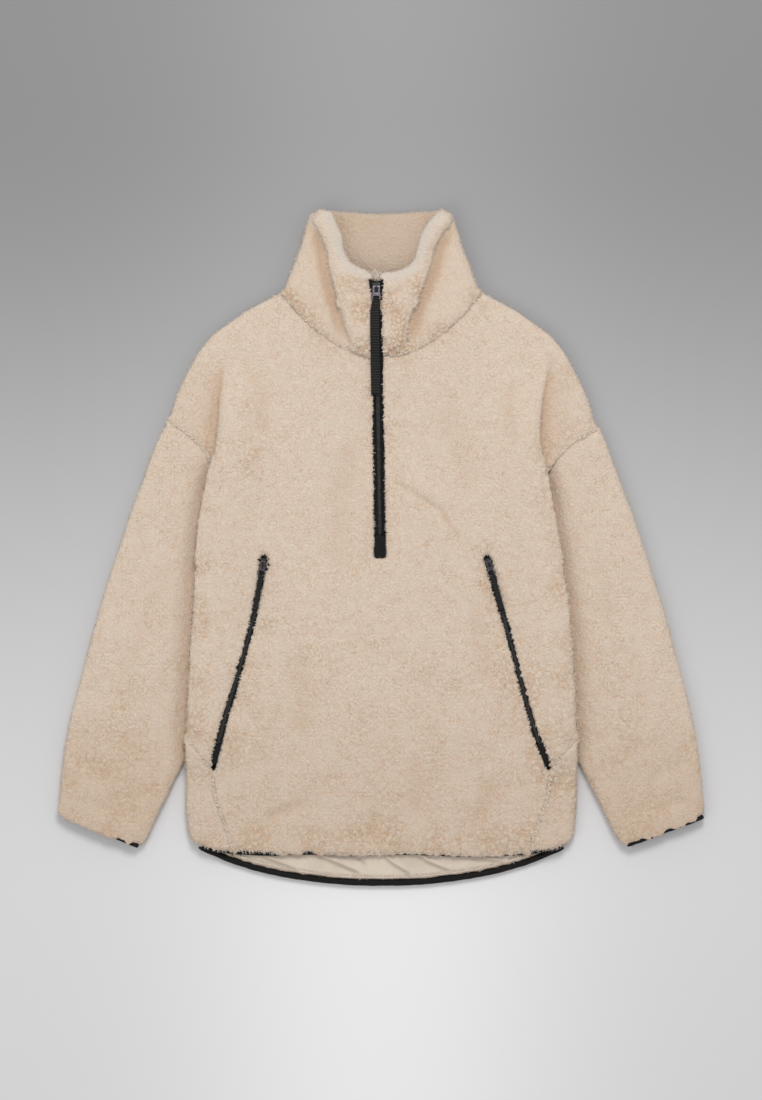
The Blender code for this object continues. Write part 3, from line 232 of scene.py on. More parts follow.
def from_line(points: Array, line: tuple) -> tuple[Array, Array]:
    """Where each place lies against a line.

    Args:
        points: Places; only their x and y count.
        line: The line's corners, x and y.

    Returns:
        Each place's distance from the line, and how far along the line it is, from 0 to 1.
    """
    flat, line = points[:, :2], np.array(line)
    best, along = np.full(len(flat), np.inf), np.zeros(len(flat))
    marks = marks_of(line)
    start = marks / max(marks[-1], TINY)
    for i, (a, b) in enumerate(zip(line, line[1:])):
        run = b - a
        share = np.clip((flat - a) @ run / max(run @ run, TINY), 0, 1)
        away = np.linalg.norm(flat - a - share[:, None] * run, axis=1)
        nearer = away < best
        best = np.where(nearer, away, best)
        along = np.where(nearer, start[i] + share * (start[i + 1] - start[i]), along)
    return best, along


def nearest(points: Array, lines: tuple) -> Array:
    """Each place's distance from the nearest of several lines."""
    return np.min([from_line(points, line)[0] for line in lines], axis=0)


# ---------------------------------------------------------------- meshes
def link(thing: Object) -> Object:
    """Puts an object into the scene."""
    bpy.context.scene.collection.objects.link(thing)
    return thing


def solo(thing: Object) -> None:
    """Selects one object and nothing else."""
    bpy.ops.object.select_all(action="DESELECT")
    thing.select_set(True)
    bpy.context.view_layer.objects.active = thing


def finished_with(thing: Object, kind: str, **settings: object) -> None:
    """Gives an object a modifier and applies it.

    Args:
        thing: The object.
        kind: The modifier's type.
        settings: The modifier's settings by name.
    """
    solo(thing)
    modifier = thing.modifiers.new(kind.title(), kind)
    for name, value in settings.items():
        setattr(modifier, name, value)
    bpy.ops.object.modifier_apply(modifier=modifier.name)


def copy_of(node: str, name: str) -> Object:
    """A copy of a solid, with its doubled points merged.

    Args:
        node: The solid's name.
        name: The new object's name.

    Returns:
        The new object.
    """
    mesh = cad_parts[node].data.copy()
    mesh.name = name
    mesh.materials.clear()
    thing = link(bpy.data.objects.new(name, mesh))
    solo(thing)
    bpy.ops.object.mode_set(mode="EDIT")
    bpy.ops.mesh.select_all(action="SELECT")
    bpy.ops.mesh.remove_doubles(threshold=MERGE)
    bpy.ops.object.mode_set(mode="OBJECT")
    if mesh.has_custom_normals:
        bpy.ops.mesh.customdata_custom_splitnormals_clear()
    return thing


def made_of(name: str, points: Array, faces: list) -> Object:
    """A new object from points and faces."""
    mesh = bpy.data.meshes.new(name)
    mesh.from_pydata(points.tolist(), [], faces)
    mesh.update()
    return link(bpy.data.objects.new(name, mesh))


def numbers_of(values: bpy.types.bpy_prop_collection, name: str) -> Array:
    """A vector of every item of a mesh's collection, one row each."""
    flat = np.empty(len(values) * 3, np.float32)
    values.foreach_get(name, flat)
    return flat.reshape(-1, 3).astype(float)


def points_of(thing: Object) -> Array:
    """Every point of a mesh, one row each."""
    return numbers_of(thing.data.vertices, "co")


def normals_of(thing: Object) -> Array:
    """Every point's normal, one row each."""
    return numbers_of(thing.data.vertex_normals, "vector")


def place_points(thing: Object, points: Array) -> None:
    """Moves every point of a mesh to its place."""
    thing.data.vertices.foreach_set("co", points.astype(np.float32).ravel())
    thing.data.update()


def keep_values(thing: Object, name: str, values: Array) -> None:
    """Stores a number at each point of a mesh, for its material."""
    attribute = thing.data.attributes.new(name, "FLOAT", "POINT")
    attribute.data.foreach_set("value", values.astype(np.float32))


def sliced(thing: Object, cuts: list) -> None:
    """Cuts across a mesh, so that it has points where it is to be shaped.

    Args:
        thing: The object.
        cuts: Each cut's axis, 0 for x and 1 for y, and its place on that axis.
    """
    mesh = bmesh.new()
    mesh.from_mesh(thing.data)
    for axis, place in cuts:
        way = np.eye(3)[axis]
        parts = mesh.verts[:] + mesh.edges[:] + mesh.faces[:]
        bmesh.ops.bisect_plane(mesh, geom=parts, plane_co=place * way, plane_no=way, dist=MERGE)
    mesh.to_mesh(thing.data)
    mesh.free()


def tree_of(*things: Object) -> BVHTree:
    """A search tree of the faces of one or more meshes."""
    corners, faces = [], []
    for mesh in (thing.data for thing in things):
        start = len(corners)
        corners += [v.co for v in mesh.vertices]
        faces += [tuple(start + i for i in p.vertices) for p in mesh.polygons]
    return BVHTree.FromPolygons(corners, faces)


def height_at(tree: BVHTree, x: float, y: float) -> float | None:
    """The height of the top of what lies at a place, or None where nothing does."""
    hit = tree.ray_cast(Vector((x, y, OVERHEAD)), Vector((0, 0, -1)), OVERHEAD)[0]
    return None if hit is None else hit.z


def open_ways(tree: BVHTree, starts: Array, ways: Array, reach: float) -> Array:
    """Whether nothing stands within reach of each start, along its way."""
    return np.array([tree.ray_cast(Vector(start), Vector(way), reach)[0] is None
                     for start, way in zip(starts, ways)])


def added(operator: Callable, **settings: object) -> Object:
    """Adds a primitive with nothing else selected, and applies its place and size."""
    bpy.ops.object.select_all(action="DESELECT")
    operator(**settings)
    bpy.ops.object.transform_apply(location=True, rotation=True, scale=True)
    return bpy.context.active_object


# ---------------------------------------------------------------- finishes
class Shader:
    """A material's node tree, built one node at a time."""

    def __init__(self, name: str) -> None:
        """Starts a material with a Principled shader."""
        self.look = bpy.data.materials.new(name)
        self.look.use_nodes = True
        self.tree = self.look.node_tree
        self.surface = self.tree.nodes["Principled BSDF"]
        self.place = self.node("ShaderNodeTexCoord").outputs["Object"]

    def node(self, kind: str, settings: dict | None = None, **inputs: object) -> Node:
        """Adds a node.

        Args:
            kind: The node's type.
            settings: Its own settings.
            inputs: Its sockets by name, with _ for a space: a value, or another node's socket.

        Returns:
            The node.
        """
        made = self.tree.nodes.new(kind)
        for name, value in (settings or {}).items():
            setattr(made, name, value)
        for name, value in inputs.items():
            self.feed(made.inputs[name.replace("_", " ")], value)
        return made

    def feed(self, socket: NodeSocket, value: object) -> None:
        """Sets a socket to a value, or links another socket to it."""
        if isinstance(value, NodeSocket):
            self.tree.links.new(value, socket)
        else:
            socket.default_value = value

    def attribute(self, name: str) -> NodeSocket:
        """A number stored at the mesh's points."""
        return self.node("ShaderNodeAttribute", {"attribute_name": name}).outputs["Fac"]

    def noise(
        self, size: float, detail: float = 2.0, at: object = None, out: str = "Fac"
    ) -> NodeSocket:
        """Soft noise with features of the given size."""
        made = self.node("ShaderNodeTexNoise", Vector=at or self.place, Scale=1 / size, Detail=detail)
        return made.outputs[out]

    def wave(self, direction: str, length: float, distortion: float, detail: float) -> NodeSocket:
        """Waves of the given length across a direction."""
        made = self.node(
            "ShaderNodeTexWave", {"bands_direction": direction}, Vector=self.place,
            Scale=WAVE / length, Distortion=distortion, Detail=detail,
        )
        return made.outputs["Fac"]

    def put_together(self, node: str, kind: str, *values: object) -> NodeSocket:
        """Values put together by a Math or Vector Math node."""
        made = self.node(node, {"operation": kind})
        for socket, value in zip(made.inputs, values):
            self.feed(socket, value)
        return made.outputs[0]

    def sum(self, kind: str, *values: object) -> NodeSocket:
        """One or two numbers put through a Math node."""
        return self.put_together("ShaderNodeMath", kind, *values)

    def warped(self, size: float, by: float) -> NodeSocket:
        """The mesh's own coordinates, pushed about by noise."""
        noise = self.noise(size, out="Color")
        push = self.put_together("ShaderNodeVectorMath", "MULTIPLY_ADD", noise, (by,) * 3, (-0.5 * by,) * 3)
        return self.put_together("ShaderNodeVectorMath", "ADD", self.place, push)

    def beside_line(self, size: float, at: object) -> NodeSocket:
        """Meandering lines about a size apart: 0 on a line, and more the further beside it."""
        return self.sum("ABSOLUTE", self.sum("SUBTRACT", self.noise(size, 1.0, at), 0.5))

    def mapped(
        self, value: object, low: float, high: float, least: float = 0.0, most: float = 1.0,
        how: str = "LINEAR",
    ) -> NodeSocket:
        """Stretches a value from one range to another, held at both ends."""
        made = self.node("ShaderNodeMapRange", {"interpolation_type": how}, Value=value, From_Min=low,
                         From_Max=high, To_Min=least, To_Max=most)
        return made.outputs["Result"]

    def stepped(self, value: object, high: float, least: float = 0.0, most: float = 1.0) -> NodeSocket:
        """Stretches a value that begins at 0 over a smooth step."""
        return self.mapped(value, 0.0, high, least, most, "SMOOTHSTEP")

    def mixed(self, share: object, a: object, b: object) -> NodeSocket:
        """Two colours mixed by a share of the second."""
        made = self.node("ShaderNodeMix", {"data_type": "RGBA"})
        self.feed(made.inputs["Factor"], share)
        for socket, value in ((made.inputs[6], a), (made.inputs[7], b)):
            self.feed(socket, (*value, 1) if isinstance(value, tuple) else value)
        return made.outputs[2]

    def bump(self, height: object, distance: float, strength: float) -> object:
        """Relief too fine for the mesh."""
        made = self.node("ShaderNodeBump", Height=height, Distance=distance, Strength=strength)
        return made.outputs["Normal"]

    def surfaced(self, **inputs: object) -> Material:
        """Sets the surface shader's sockets by name and returns the material."""
        for name, value in inputs.items():
            self.feed(self.surface.inputs[name.replace("_", " ")], value)
        return self.look


@dataclass(frozen=True)
class SherpaFinish:
    """Curly sherpa pile: pale tips, warm tan painted shade in its crevices, and a soft sheen."""

    name: str
    contrast: tuple
    # seam: how far the mesh's crevices take the crevice colour, as painted shade
    seam: float
    curl: float = 0.0047
    tip: tuple = (0.672, 0.567, 0.468)
    body: tuple = (0.640, 0.534, 0.436)
    # crevice: painted shade, the warm tan of the curls' crevices, of the mesh's crevices and of every shade
    # attribute
    crevice: tuple = (0.480, 0.315, 0.195)
    rim: tuple = (0.610, 0.545, 0.478)
    # inside: the colour of the collar's inside, and painted shade towards the hem and cuffs
    inside: tuple = (0.530, 0.424, 0.332)
    clouds: float = 0.0075
    relief: float = 0.0007
    slot: Slot = Slot.SHERPA

    def material(self) -> Material:
        """Builds the material."""
        shader = Shader(self.name)
        at = shader.warped(2.2 * self.curl, 0.5 * self.curl)
        wide = shader.beside_line(self.curl, at)
        fine = shader.beside_line(0.55 * self.curl, at)
        height = shader.sum("ADD", *(shader.sum("MULTIPLY", shader.stepped(line, high), share)
                                     for line, high, share in ((wide, 0.20, 0.80), (fine, 0.18, 0.20))))
        colour = shader.mixed(shader.mapped(shader.noise(self.clouds), 0.35, 0.66), self.body, self.tip)
        colour = shader.mixed(shader.attribute("rim"), colour, self.rim)
        # the inside colour: the collar's inside, and painted shade towards the hem and cuffs on the other
        # pieces
        colour = shader.mixed(shader.attribute("inside"), colour, self.inside)
        patchy = shader.mapped(shader.noise(2.6 * self.curl), 0.40, 0.60, 0.5, 1.0)
        # painted shade along the curls' crevices
        deep = shader.sum("MULTIPLY", shader.stepped(wide, 0.068, 1.0, 0.0), patchy)
        deep = shader.sum("MAXIMUM", deep, shader.stepped(fine, 0.075, 0.2, 0.0))
        curly = shader.mapped(shader.attribute("curly"), 0.05, 1.0, *self.contrast)
        # painted shade in the crevices raised in the mesh
        grooves = shader.mapped(shader.attribute("crevice"), 0.20, 0.90, 0.0, self.seam)
        # each share mixes in the crevice colour as painted shade: curls, mesh crevices, and the folds and
        # creases of the shade attribute
        for share in (shader.sum("MULTIPLY", deep, curly), grooves, shader.attribute("shade")):
            colour = shader.mixed(share, colour, self.crevice)
        return shader.surfaced(
            Base_Color=colour, Roughness=1.0, Specular_IOR_Level=0.1, Sheen_Weight=0.22,
            Sheen_Roughness=0.7, Sheen_Tint=(1.0, 0.94, 0.87, 1.0), Subsurface_Weight=0.2,
            Subsurface_Radius=(1.0, 0.62, 0.42), Subsurface_Scale=0.0008,
            Normal=shader.bump(height, self.relief, 0.8),
        )


@dataclass(frozen=True)
class LockFinish:
    """The same pile where it stands up in loose locks, painted lighter than the pile against the shade that
    the thin locks throw on one another.
    """

    name: str
    colour: tuple
    shade: tuple
    clouds: float = 0.003
    slot: Slot = Slot.SHERPA

    def material(self) -> Material:
        """Builds the material."""
        shader = Shader(self.name)
        colour = shader.mixed(shader.mapped(shader.noise(self.clouds), 0.4, 0.65), self.shade, self.colour)
        return shader.surfaced(
            Base_Color=colour, Roughness=1.0, Specular_IOR_Level=0.1, Sheen_Weight=0.2, Sheen_Roughness=0.7,
            Subsurface_Weight=0.3, Subsurface_Radius=(1.0, 0.62, 0.42), Subsurface_Scale=0.0015,
        )


@dataclass(frozen=True)
class WovenFinish:
    """A fine plain weave with a slight gloss."""

    name: str = "lining_weave"
    colour: tuple = (0.700, 0.605, 0.500)
    shade: tuple = (0.400, 0.325, 0.250)
    thread: float = 0.0012
    clouds: float = 0.02
    slot: Slot = Slot.LINING

    def material(self) -> Material:
        """Builds the material."""
        shader = Shader(self.name)
        weave = shader.sum("MULTIPLY", *(shader.wave(way, self.thread, 0.6, 1.0) for way in "XY"))
        clouds = shader.mapped(shader.noise(self.clouds, 3.0), 0.3, 0.7, 0.7, 1.0)
        colour = shader.mixed(clouds, self.shade, self.colour)
        creases = shader.mapped(shader.attribute("shade"), 0.0, 1.0, 0.0, 0.8)
        for share in (shader.mapped(weave, 0.0, 0.4, 0.12, 0.0), creases):
            colour = shader.mixed(share, colour, self.shade)
        return shader.surfaced(
            Base_Color=colour, Roughness=0.5, Specular_IOR_Level=0.35, Sheen_Weight=0.1,
            Normal=shader.bump(weave, 0.0002, 0.6),
        )


@dataclass(frozen=True)
class TrimFinish:
    """Black textile: ribbed across, with paler worn fibres, which on the coil are painted glints, a painted
    highlight on the crests of the webbing's ribs, and specks of pale lint.
    """

    name: str
    rib: float
    direction: str = "Y"
    lint: float = 0.30
    colour: tuple = (0.0065, 0.0062, 0.0062)
    # paler worn fibres, and on the coil painted glints on its teeth
    wear_and_glints: tuple = (0.020, 0.019, 0.018)
    # ridge: painted highlight on the crests of the webbing's ribs
    ridge: tuple = (0.042, 0.041, 0.040)
    lint_colour: tuple = (0.30, 0.25, 0.20)
    roughness: float = 0.75
    slot: Slot = Slot.TRIM

    def material(self) -> Material:
        """Builds the material."""
        shader = Shader(self.name)
        ribs = shader.wave(self.direction, self.rib, 1.2, 2.0)
        fibre = shader.noise(0.0007, 3.0)
        # paler fibres: wear, and on the coil painted glints
        colour = shader.mixed(shader.mapped(fibre, 0.4, 0.75), self.colour, self.wear_and_glints)
        # painted highlight on the crests of the webbing's ribs
        colour = shader.mixed(shader.attribute("ridge"), colour, self.ridge)
        specks = shader.mapped(shader.noise(0.0012), 0.70, 0.76, 0.0, self.lint)
        colour = shader.mixed(specks, colour, self.lint_colour)
        height = shader.sum("ADD", ribs, shader.sum("MULTIPLY", fibre, 0.5))
        return shader.surfaced(
            Base_Color=colour, Roughness=self.roughness, Specular_IOR_Level=0.14, Sheen_Weight=0.012,
            Sheen_Roughness=0.5, Normal=shader.bump(height, 0.0003, 0.8),
        )


@dataclass(frozen=True)
class MetalFinish:
    """Gunmetal plating, paler at its edges: partly wear and partly painted glints."""

    name: str
    colour: tuple
    bright: tuple
    metallic: float = 0.9
    slot: Slot = Slot.METAL

    def material(self) -> Material:
        """Builds the material."""
        shader = Shader(self.name)
        edge = shader.node("ShaderNodeNewGeometry").outputs["Pointiness"]
        stain = shader.noise(0.002, 3.0)
        colour = shader.mixed(shader.mapped(stain, 0.3, 0.8, 0.0, 0.18), self.colour, self.bright)
        # paler edges, found by pointiness: partly wear and partly painted glints
        colour = shader.mixed(shader.mapped(edge, 0.52, 0.60), colour, self.bright)
        return shader.surfaced(
            Base_Color=colour, Metallic=self.metallic, Specular_IOR_Level=0.5,
            Roughness=shader.mapped(stain, 0.3, 0.7, 0.28, 0.45),
            Normal=shader.bump(shader.noise(0.0005, 3.0), 0.00005, 0.5),
        )


class Look(Enum):
    """Every finish of the garment."""

    SHERPA = SherpaFinish("sherpa_pile", (0.60, 1.00), 0.45)
    CURLS = SherpaFinish("sherpa_curls", (0.30, 1.00), 0.60)
    # painted light: both lock colours are lighter than the pile's, against the locks' own shade; the seams'
    # locks are a little darker, painted shade of the grooves
    LOCKS = LockFinish("sherpa_locks", (0.760, 0.650, 0.545), (0.690, 0.575, 0.470))
    DEEP_LOCKS = LockFinish("sherpa_in_seams", (0.740, 0.620, 0.510), (0.670, 0.545, 0.435))
    WEAVE = WovenFinish()
    BINDING = TrimFinish("binding_rib", 0.0018, "X")
    TAPE = TrimFinish("zip_tape_knit", 0.0012)
    # painted glints: the coil's pale fibre specks stand for small glints on its teeth
    COIL = TrimFinish("zip_coil", 0.0006, lint=0.05, wear_and_glints=(0.16, 0.155, 0.15), roughness=0.28)
    WEBBING = TrimFinish("webbing", 0.0011, lint=0.15)
    METAL = MetalFinish("gunmetal_plate", (0.150, 0.125, 0.155), (0.40, 0.37, 0.41))
    # the pockets' darker gunmetal, whose paler edges are partly wear and partly painted glints
    WORN_METAL = MetalFinish("gunmetal_worn_glinting", (0.035, 0.030, 0.036), (0.34, 0.31, 0.35))
    DARK_METAL = MetalFinish("gunmetal_black", (0.005, 0.0045, 0.005), (0.03, 0.028, 0.03), 0.0)

    @functools.cache
    def material(self) -> Material:
        """The finish's material, which is made only once."""
        return self.value.material()


def dressed(
    thing: Object, look: Look, node: str = "", body: Body = Body.GARMENT, hard: bool = False
) -> Object:
    """Gives a finished piece its material and its place in the part, and reports it.

    Args:
        thing: The piece, in place.
        look: Its finish.
        node: The solid that it stands for, if any.
        body: What it moves with.
        hard: Whether its edges stay sharp.

    Returns:
        The piece.
    """
    thing.data.materials.clear()
    thing.data.materials.append(look.material())
    if hard:
        solo(thing)
        bpy.ops.object.shade_smooth_by_angle(angle=math.radians(35))
    else:
        thing.data.shade_smooth()
    if node:
        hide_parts(node)
    LOG.info("%s: %d points", thing.name, len(thing.data.vertices))
    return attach(thing, body.value)


# ---------------------------------------------------------------- where the pieces meet
LEFT, RIGHT = -1, 1
SIDES = {LEFT: "left", RIGHT: "right"}

NECK_SEAM = path(15, 239.3, 35, 245, 55, 254, 75, 268, 92.5, 283, 108, 299, 123, 317.5)
BACK_NECK = path(0, 303, 60, 305, 123, 317.5)
ARMHOLE = {
    LEFT: path(-265, 159, -238.5, 140, -225, 126, -212, 110),
    RIGHT: path(268.5, 148, 238.5, 131, 221, 115, 205, 97),
}
BODY_EDGE = {
    LEFT: path(-197, 225, -204, 185, -206.5, 147.5, -212, 110, -219, 72.5, -226, 35, -231, -15, -235, -65,
               -240, -152, -243.5, -236, -244, -320),
    RIGHT: path(209.5, 225, 203, 185, 200, 147.5, 203, 110, 209, 72.5, 216, 35, 225, -15, 233.5, -65,
                241, -152, 244, -236, 244, -320),
}
GUSSET = path(243.7, -236, 233, -247, 224.5, -257, 212.5, -280, 207, -312, 194.5, -348, 185, -377.5)
POCKET = {
    LEFT: path(-146.5, -11, -151.5, -46, -160.5, -90, -174.5, -142, -194, -208, -212.5, -280),
    RIGHT: path(131.9, -11, 141, -45, 158, -105, 176.5, -174, 192.5, -231, 212.5, -280),
}
FRONT_HEM = path(-227, -371, -206, -376.5, -185, -377.5, -145, -380, -90, -378.5, -35, -380.5, 30, -378.5,
                 95, -381, 145, -381, 185, -377.5, 206, -376.5, 227, -371)
BACK_FRINGE = path(-184, -383, -132.5, -397.8, -59.8, -408.3, 0, -410.7, 59.8, -408.3, 132.5, -397.8,
                   184, -383)
CUFF = {
    LEFT: path(-402.8, -323, -396, -331, -350, -350.5, -304, -370, -297, -369),
    RIGHT: path(403.4, -325.5, 400.5, -334, 354, -351.5, 307, -369, 299, -368),
}
CUFF_REACH = {
    LEFT: profile(0, 7.4, 0.5, 7.2, 0.62, 6.8, 0.7, 6.2, 0.73, 3.4, 0.79, 3, 0.82, 5.6, 0.86, 5, 0.875, 0,
                  1, 0),
    RIGHT: profile(0, 0, 0.13, 0, 0.17, 5.2, 0.25, 3.6, 0.32, 5.8, 0.4, 5.6, 0.44, 1.8, 0.49, 2.2, 0.54, 6,
                   0.7, 6, 0.76, 1.8, 0.9, 0.6, 0.95, 4.6, 1, 1.2),
}


def beyond(points: Array, line: tuple, side: int) -> Array:
    """How far each place lies on one side of a line that runs down the garment."""
    x, y = np.array(line)[::-1].T
    return side * (points[:, 0] - np.interp(points[:, 1], y, x))


def beyond_edge(points: Array, side: int) -> Array:
    """How far each place lies outside the body's folded edge on one side; below 0 is inside it."""
    return beyond(points, BODY_EDGE[side], side)


def fold_shade(points: Array, near: float, wide: float, depth: float) -> Array:
    """The soft shade beside the body's folded edges, from deep beside them to nothing."""
    shade = np.zeros(len(points))
    for side in SIDES:
        away = beyond_edge(points, side)
        fade = 0.7 * depth * np.exp(-((away / near) ** 2)) + 0.45 * depth * np.exp(-((away / wide) ** 2))
        shade = np.maximum(shade, np.where(away > -0.0005, fade, 0))
    return shade


# ---------------------------------------------------------------- the pile
@dataclass(frozen=True)
class Nap:
    """How the pile of a piece curls: crevices between its clumps, which swell up between them."""

    clump: float = 0.0078
    crevice: float = 0.0013
    dome: float = 0.0008
    wave: float = 0.0006
    patch: float = 0.036        # how wide its curlier and calmer patches are
    roll: float = 0.024         # how wide its waves are

    def relief(self, points: Array, strength: Array) -> tuple[Array, Array, Array]:
        """The pile's height over its cloth.

        Args:
            points: Places on the cloth.
            strength: How curly the pile is at each place, 1 for the usual.

        Returns:
            The height at each place, how deep in a crevice it is, 0 to 1, and how curly it is there.
        """
        warp = np.stack([swell(points, 1.6 * self.clump, seed) for seed in (3, 5, 7)], axis=1)
        near, after = two_nearest(points + 0.40 * self.clump * warp, self.clump, 11)
        groove = 1 - ease(0.0, 0.34, after - near)
        curly = strength * (0.35 + 0.65 * ease(-0.45, 0.55, swell(points, self.patch, 17)))
        dome = ease(0.95, 0.15, near)
        height = curly * (self.dome * (dome - 0.5) - self.crevice * groove)
        height += self.wave * swell(points, self.roll, 29)
        return height, np.clip(groove * curly, 0, 1), np.clip(curly, 0, 1.2)


@dataclass(frozen=True)
class Crease:
    """A soft trough or ridge of the cloth: its line, its width and its height."""

    line: tuple
    width: float
    height: float

    def lift(self, points: Array) -> Array:
        """How much it lifts each place, fading out towards its ends."""
        away, along = from_line(points, self.line)
        ends = ease(0.0, 0.22, along) * ease(0.0, 0.22, 1 - along)
        return self.height * np.exp(-((away / self.width) ** 2)) * ends


def creases(*rows: tuple) -> tuple:
    """Creases from rows in millimetres: a width, a height, and x and y of each point in turn."""
    return tuple(Crease(path(*row[2:]), *metres(*row[:2])) for row in rows)


def lifted(points: Array, folds: tuple) -> Array:
    """How much several creases lift each place."""
    return sum((crease.lift(points) for crease in folds), np.zeros(len(points)))


@dataclass(frozen=True)
class Overhang:
    """Pile that hangs out over a border: the border's line, which way, and how far along it."""

    line: tuple
    way: tuple
    reach: tuple
    above: float
    inland: float = 0.011
    ragged: float = 0.35
    grain: float = 0.006

    def shift(self, points: Array) -> Array:
        """How each place moves."""
        away, along = from_line(points, self.line)
        reach = np.interp(along, *np.array(self.reach).T) * (1 + self.ragged * swell(points, self.grain, 53))
        reach *= ease(self.inland, 0.0025, away)
        reach *= ease(self.above - 0.0016, self.above + 0.0012, points[:, 2])
        return reach[:, None] * np.array((*self.way, 0.0))


class Hidden(Enum):
    """Which side of a piece nothing shows of."""

    UNDERSIDE = "underside"
    TOP = "top"
    INSIDE = "inside"


@dataclass
class FleecePiece:
    """One cut piece of sherpa, built from its solid."""

    name: str
    node: str
    flat: tuple
    area: float
    held: str
    rests_on: str
    hidden: Hidden
    voxel: float
    nap: Nap = Nap()
    creases: tuple = ()
    overhangs: tuple = ()
    seams: tuple = ()
    both_skins: bool = True
    keep_below: float = -1.0
    look: Look = Look.SHERPA
    curliness: float = 1.0
    hidden_share: float = 0.06
    opening: float = 0.3
    smooth: int = 4
    border_spread: float = 0.0005
    seam_spread: float = 0.0030
    gap: float = 0.011          # how near the other layer of a fold lies
    lowest: float = 0.0002
    crease_shade: tuple = (90.0, 0.30)      # how dark a metre's depth would be, and the most

    def build(self) -> Object:
        thing = copy_of(self.node, self.name)
        if self.hidden is Hidden.INSIDE:
            self.part_layers(thing)
        finished_with(thing, "REMESH", mode="VOXEL", voxel_size=self.voxel)
        self.thin_hidden(thing)
        finished_with(thing, "SMOOTH", factor=0.5, iterations=self.smooth)
        self.raise_pile(thing)
        dressed(thing, self.look, self.node)
        return thing

    def part_layers(self, thing: Object) -> None:
        """Moves the inner skins of a folded piece apart, so that rebuilding keeps the gap between them."""
        mesh = bmesh.new()
        mesh.from_mesh(thing.data)
        tree = BVHTree.FromBMesh(mesh)
        skins = [(1, self.inner_skins(mesh, 1))]
        if self.both_skins:
            skins.append((-1, self.inner_skins(mesh, -1)))
        moves = {}
        for up, skin in skins:
            others = {v for way, other in skins if way != up for f in other for v in f.verts}
            for vertex in {v for f in skin for v in f.verts} - others:
                moves[vertex] = up * self.opening * self.wall_at(tree, vertex, up)
        for vertex, by in moves.items():
            vertex.co.z += by
        mesh.to_mesh(thing.data)
        mesh.free()

    def inner_skins(self, mesh: bmesh.types.BMesh, up: int) -> set:
        """The faces inside a fold that lie under its upper layer (up 1) or on its lower one (up -1)."""
        low, high = (0.004, 1.0) if up > 0 else (0.002, 0.0095)
        seeds = [f for f in mesh.faces if f.normal.z * up < -0.9 and low < f.calc_center_median().z < high]
        found = set()
        for side in SIDES:
            begin = [f for f in seeds if side * f.calc_center_median().x > 0]
            todo = [max(begin, key=lambda f: f.calc_area())] if begin else []
            found.update(todo)
            while todo:
                face = todo.pop()
                for other in [f for edge in face.edges for f in edge.link_faces]:
                    if other not in found and other.normal.dot(face.normal) > 0.6:
                        found.add(other)
                        todo.append(other)
        return found

    def wall_at(self, tree: BVHTree, vertex: bmesh.types.BMVert, up: int) -> float:
        """How thick the layer of cloth is at one point of its inner skin."""
        beside = [up * (e.other_vert(vertex).co.z - vertex.co.z) for e in vertex.link_edges
                  if (e.other_vert(vertex).co - vertex.co).xy.length < 0.0015]
        if beside and max(beside) > 0.001:
            return max(beside)
        hit = tree.ray_cast(vertex.co + Vector((0, 0, up * 0.0003)), Vector((0, 0, up)), 0.02)
        return hit[3] or 0.0

    def thin_hidden(self, thing: Object) -> None:
        """Leaves few faces where nothing shows."""
        points, normals = points_of(thing), normals_of(thing)
        if self.hidden is Hidden.UNDERSIDE:
            unseen = normals[:, 2] < -0.3
        elif self.hidden is Hidden.TOP:
            unseen = (normals[:, 2] > 0.3) & (points[:, 1] > self.keep_below)
        else:
            tree = tree_of(thing)
            unseen = ~open_ways(tree, points + 0.0004 * normals, normals, self.gap)
        group = thing.vertex_groups.new(name="unseen")
        group.add(np.nonzero(unseen)[0].tolist(), 1.0, "REPLACE")
        share = 1 - (1 - self.hidden_share) * unseen.mean()
        finished_with(thing, "DECIMATE", ratio=float(share), vertex_group="unseen", vertex_group_factor=1.0)

    def unseen_share(self, thing: Object) -> Array:
        """How hidden each point is, 0 to 1."""
        share = np.zeros(len(thing.data.vertices))
        for vertex in thing.data.vertices:
            for entry in vertex.groups:
                share[vertex.index] = entry.weight
        return share

    def raise_pile(self, thing: Object) -> None:
        """Raises the creases and the pile of what shows, and keeps what its material needs."""
        points, normals = points_of(thing), normals_of(thing)
        shown = 1 - self.unseen_share(thing)
        height, depth, curly = self.nap.relief(points, self.strength(points, normals))
        folds = lifted(points, self.creases) * (normals[:, 2] > 0)
        height += folds
        floor = ease(0.004, 0.001, points[:, 2]) * ease(0.0, -0.5, normals[:, 2])
        height = np.where(floor > 0, np.minimum(height, 0), height)
        moved = points + normals * (height * shown)[:, None] + self.spread(points, normals)
        moved += sum(overhang.shift(points) for overhang in self.overhangs)
        moved[:, 2] = np.maximum(moved[:, 2], self.lowest)
        place_points(thing, moved)
        # inside holds the collar's inside colour, and painted shade towards the hem and cuffs on the other
        # pieces; shade is painted shade
        rim, inside, shade = self.shades(points, normals)
        shade = np.maximum(shade, np.clip(-self.crease_shade[0] * folds, 0, self.crease_shade[1]))
        for name, values in (("crevice", depth * shown), ("curly", curly), ("rim", rim), ("inside", inside),
                             ("shade", shade)):
            keep_values(thing, name, values)
        thing.vertex_groups.clear()

    def spread(self, points: Array, normals: Array) -> Array:
        """How a border's points move outwards, so that sewn pieces meet at their seam."""
        flat = normals * (1, 1, 0)
        flat /= np.linalg.norm(flat, axis=1)[:, None] + 1e-9
        border = 1 - ease(0.70, 0.95, np.abs(normals[:, 2]))
        push = np.full(len(points), self.border_spread)
        if self.seams:
            push = np.maximum(push, self.seam_spread * ease(0.0075, 0.0035, nearest(points, self.seams)))
        return flat * (push * border)[:, None]

    def strength(self, points: Array, normals: Array) -> Array:
        """How curly the pile is at each place."""
        return np.full(len(points), self.curliness)

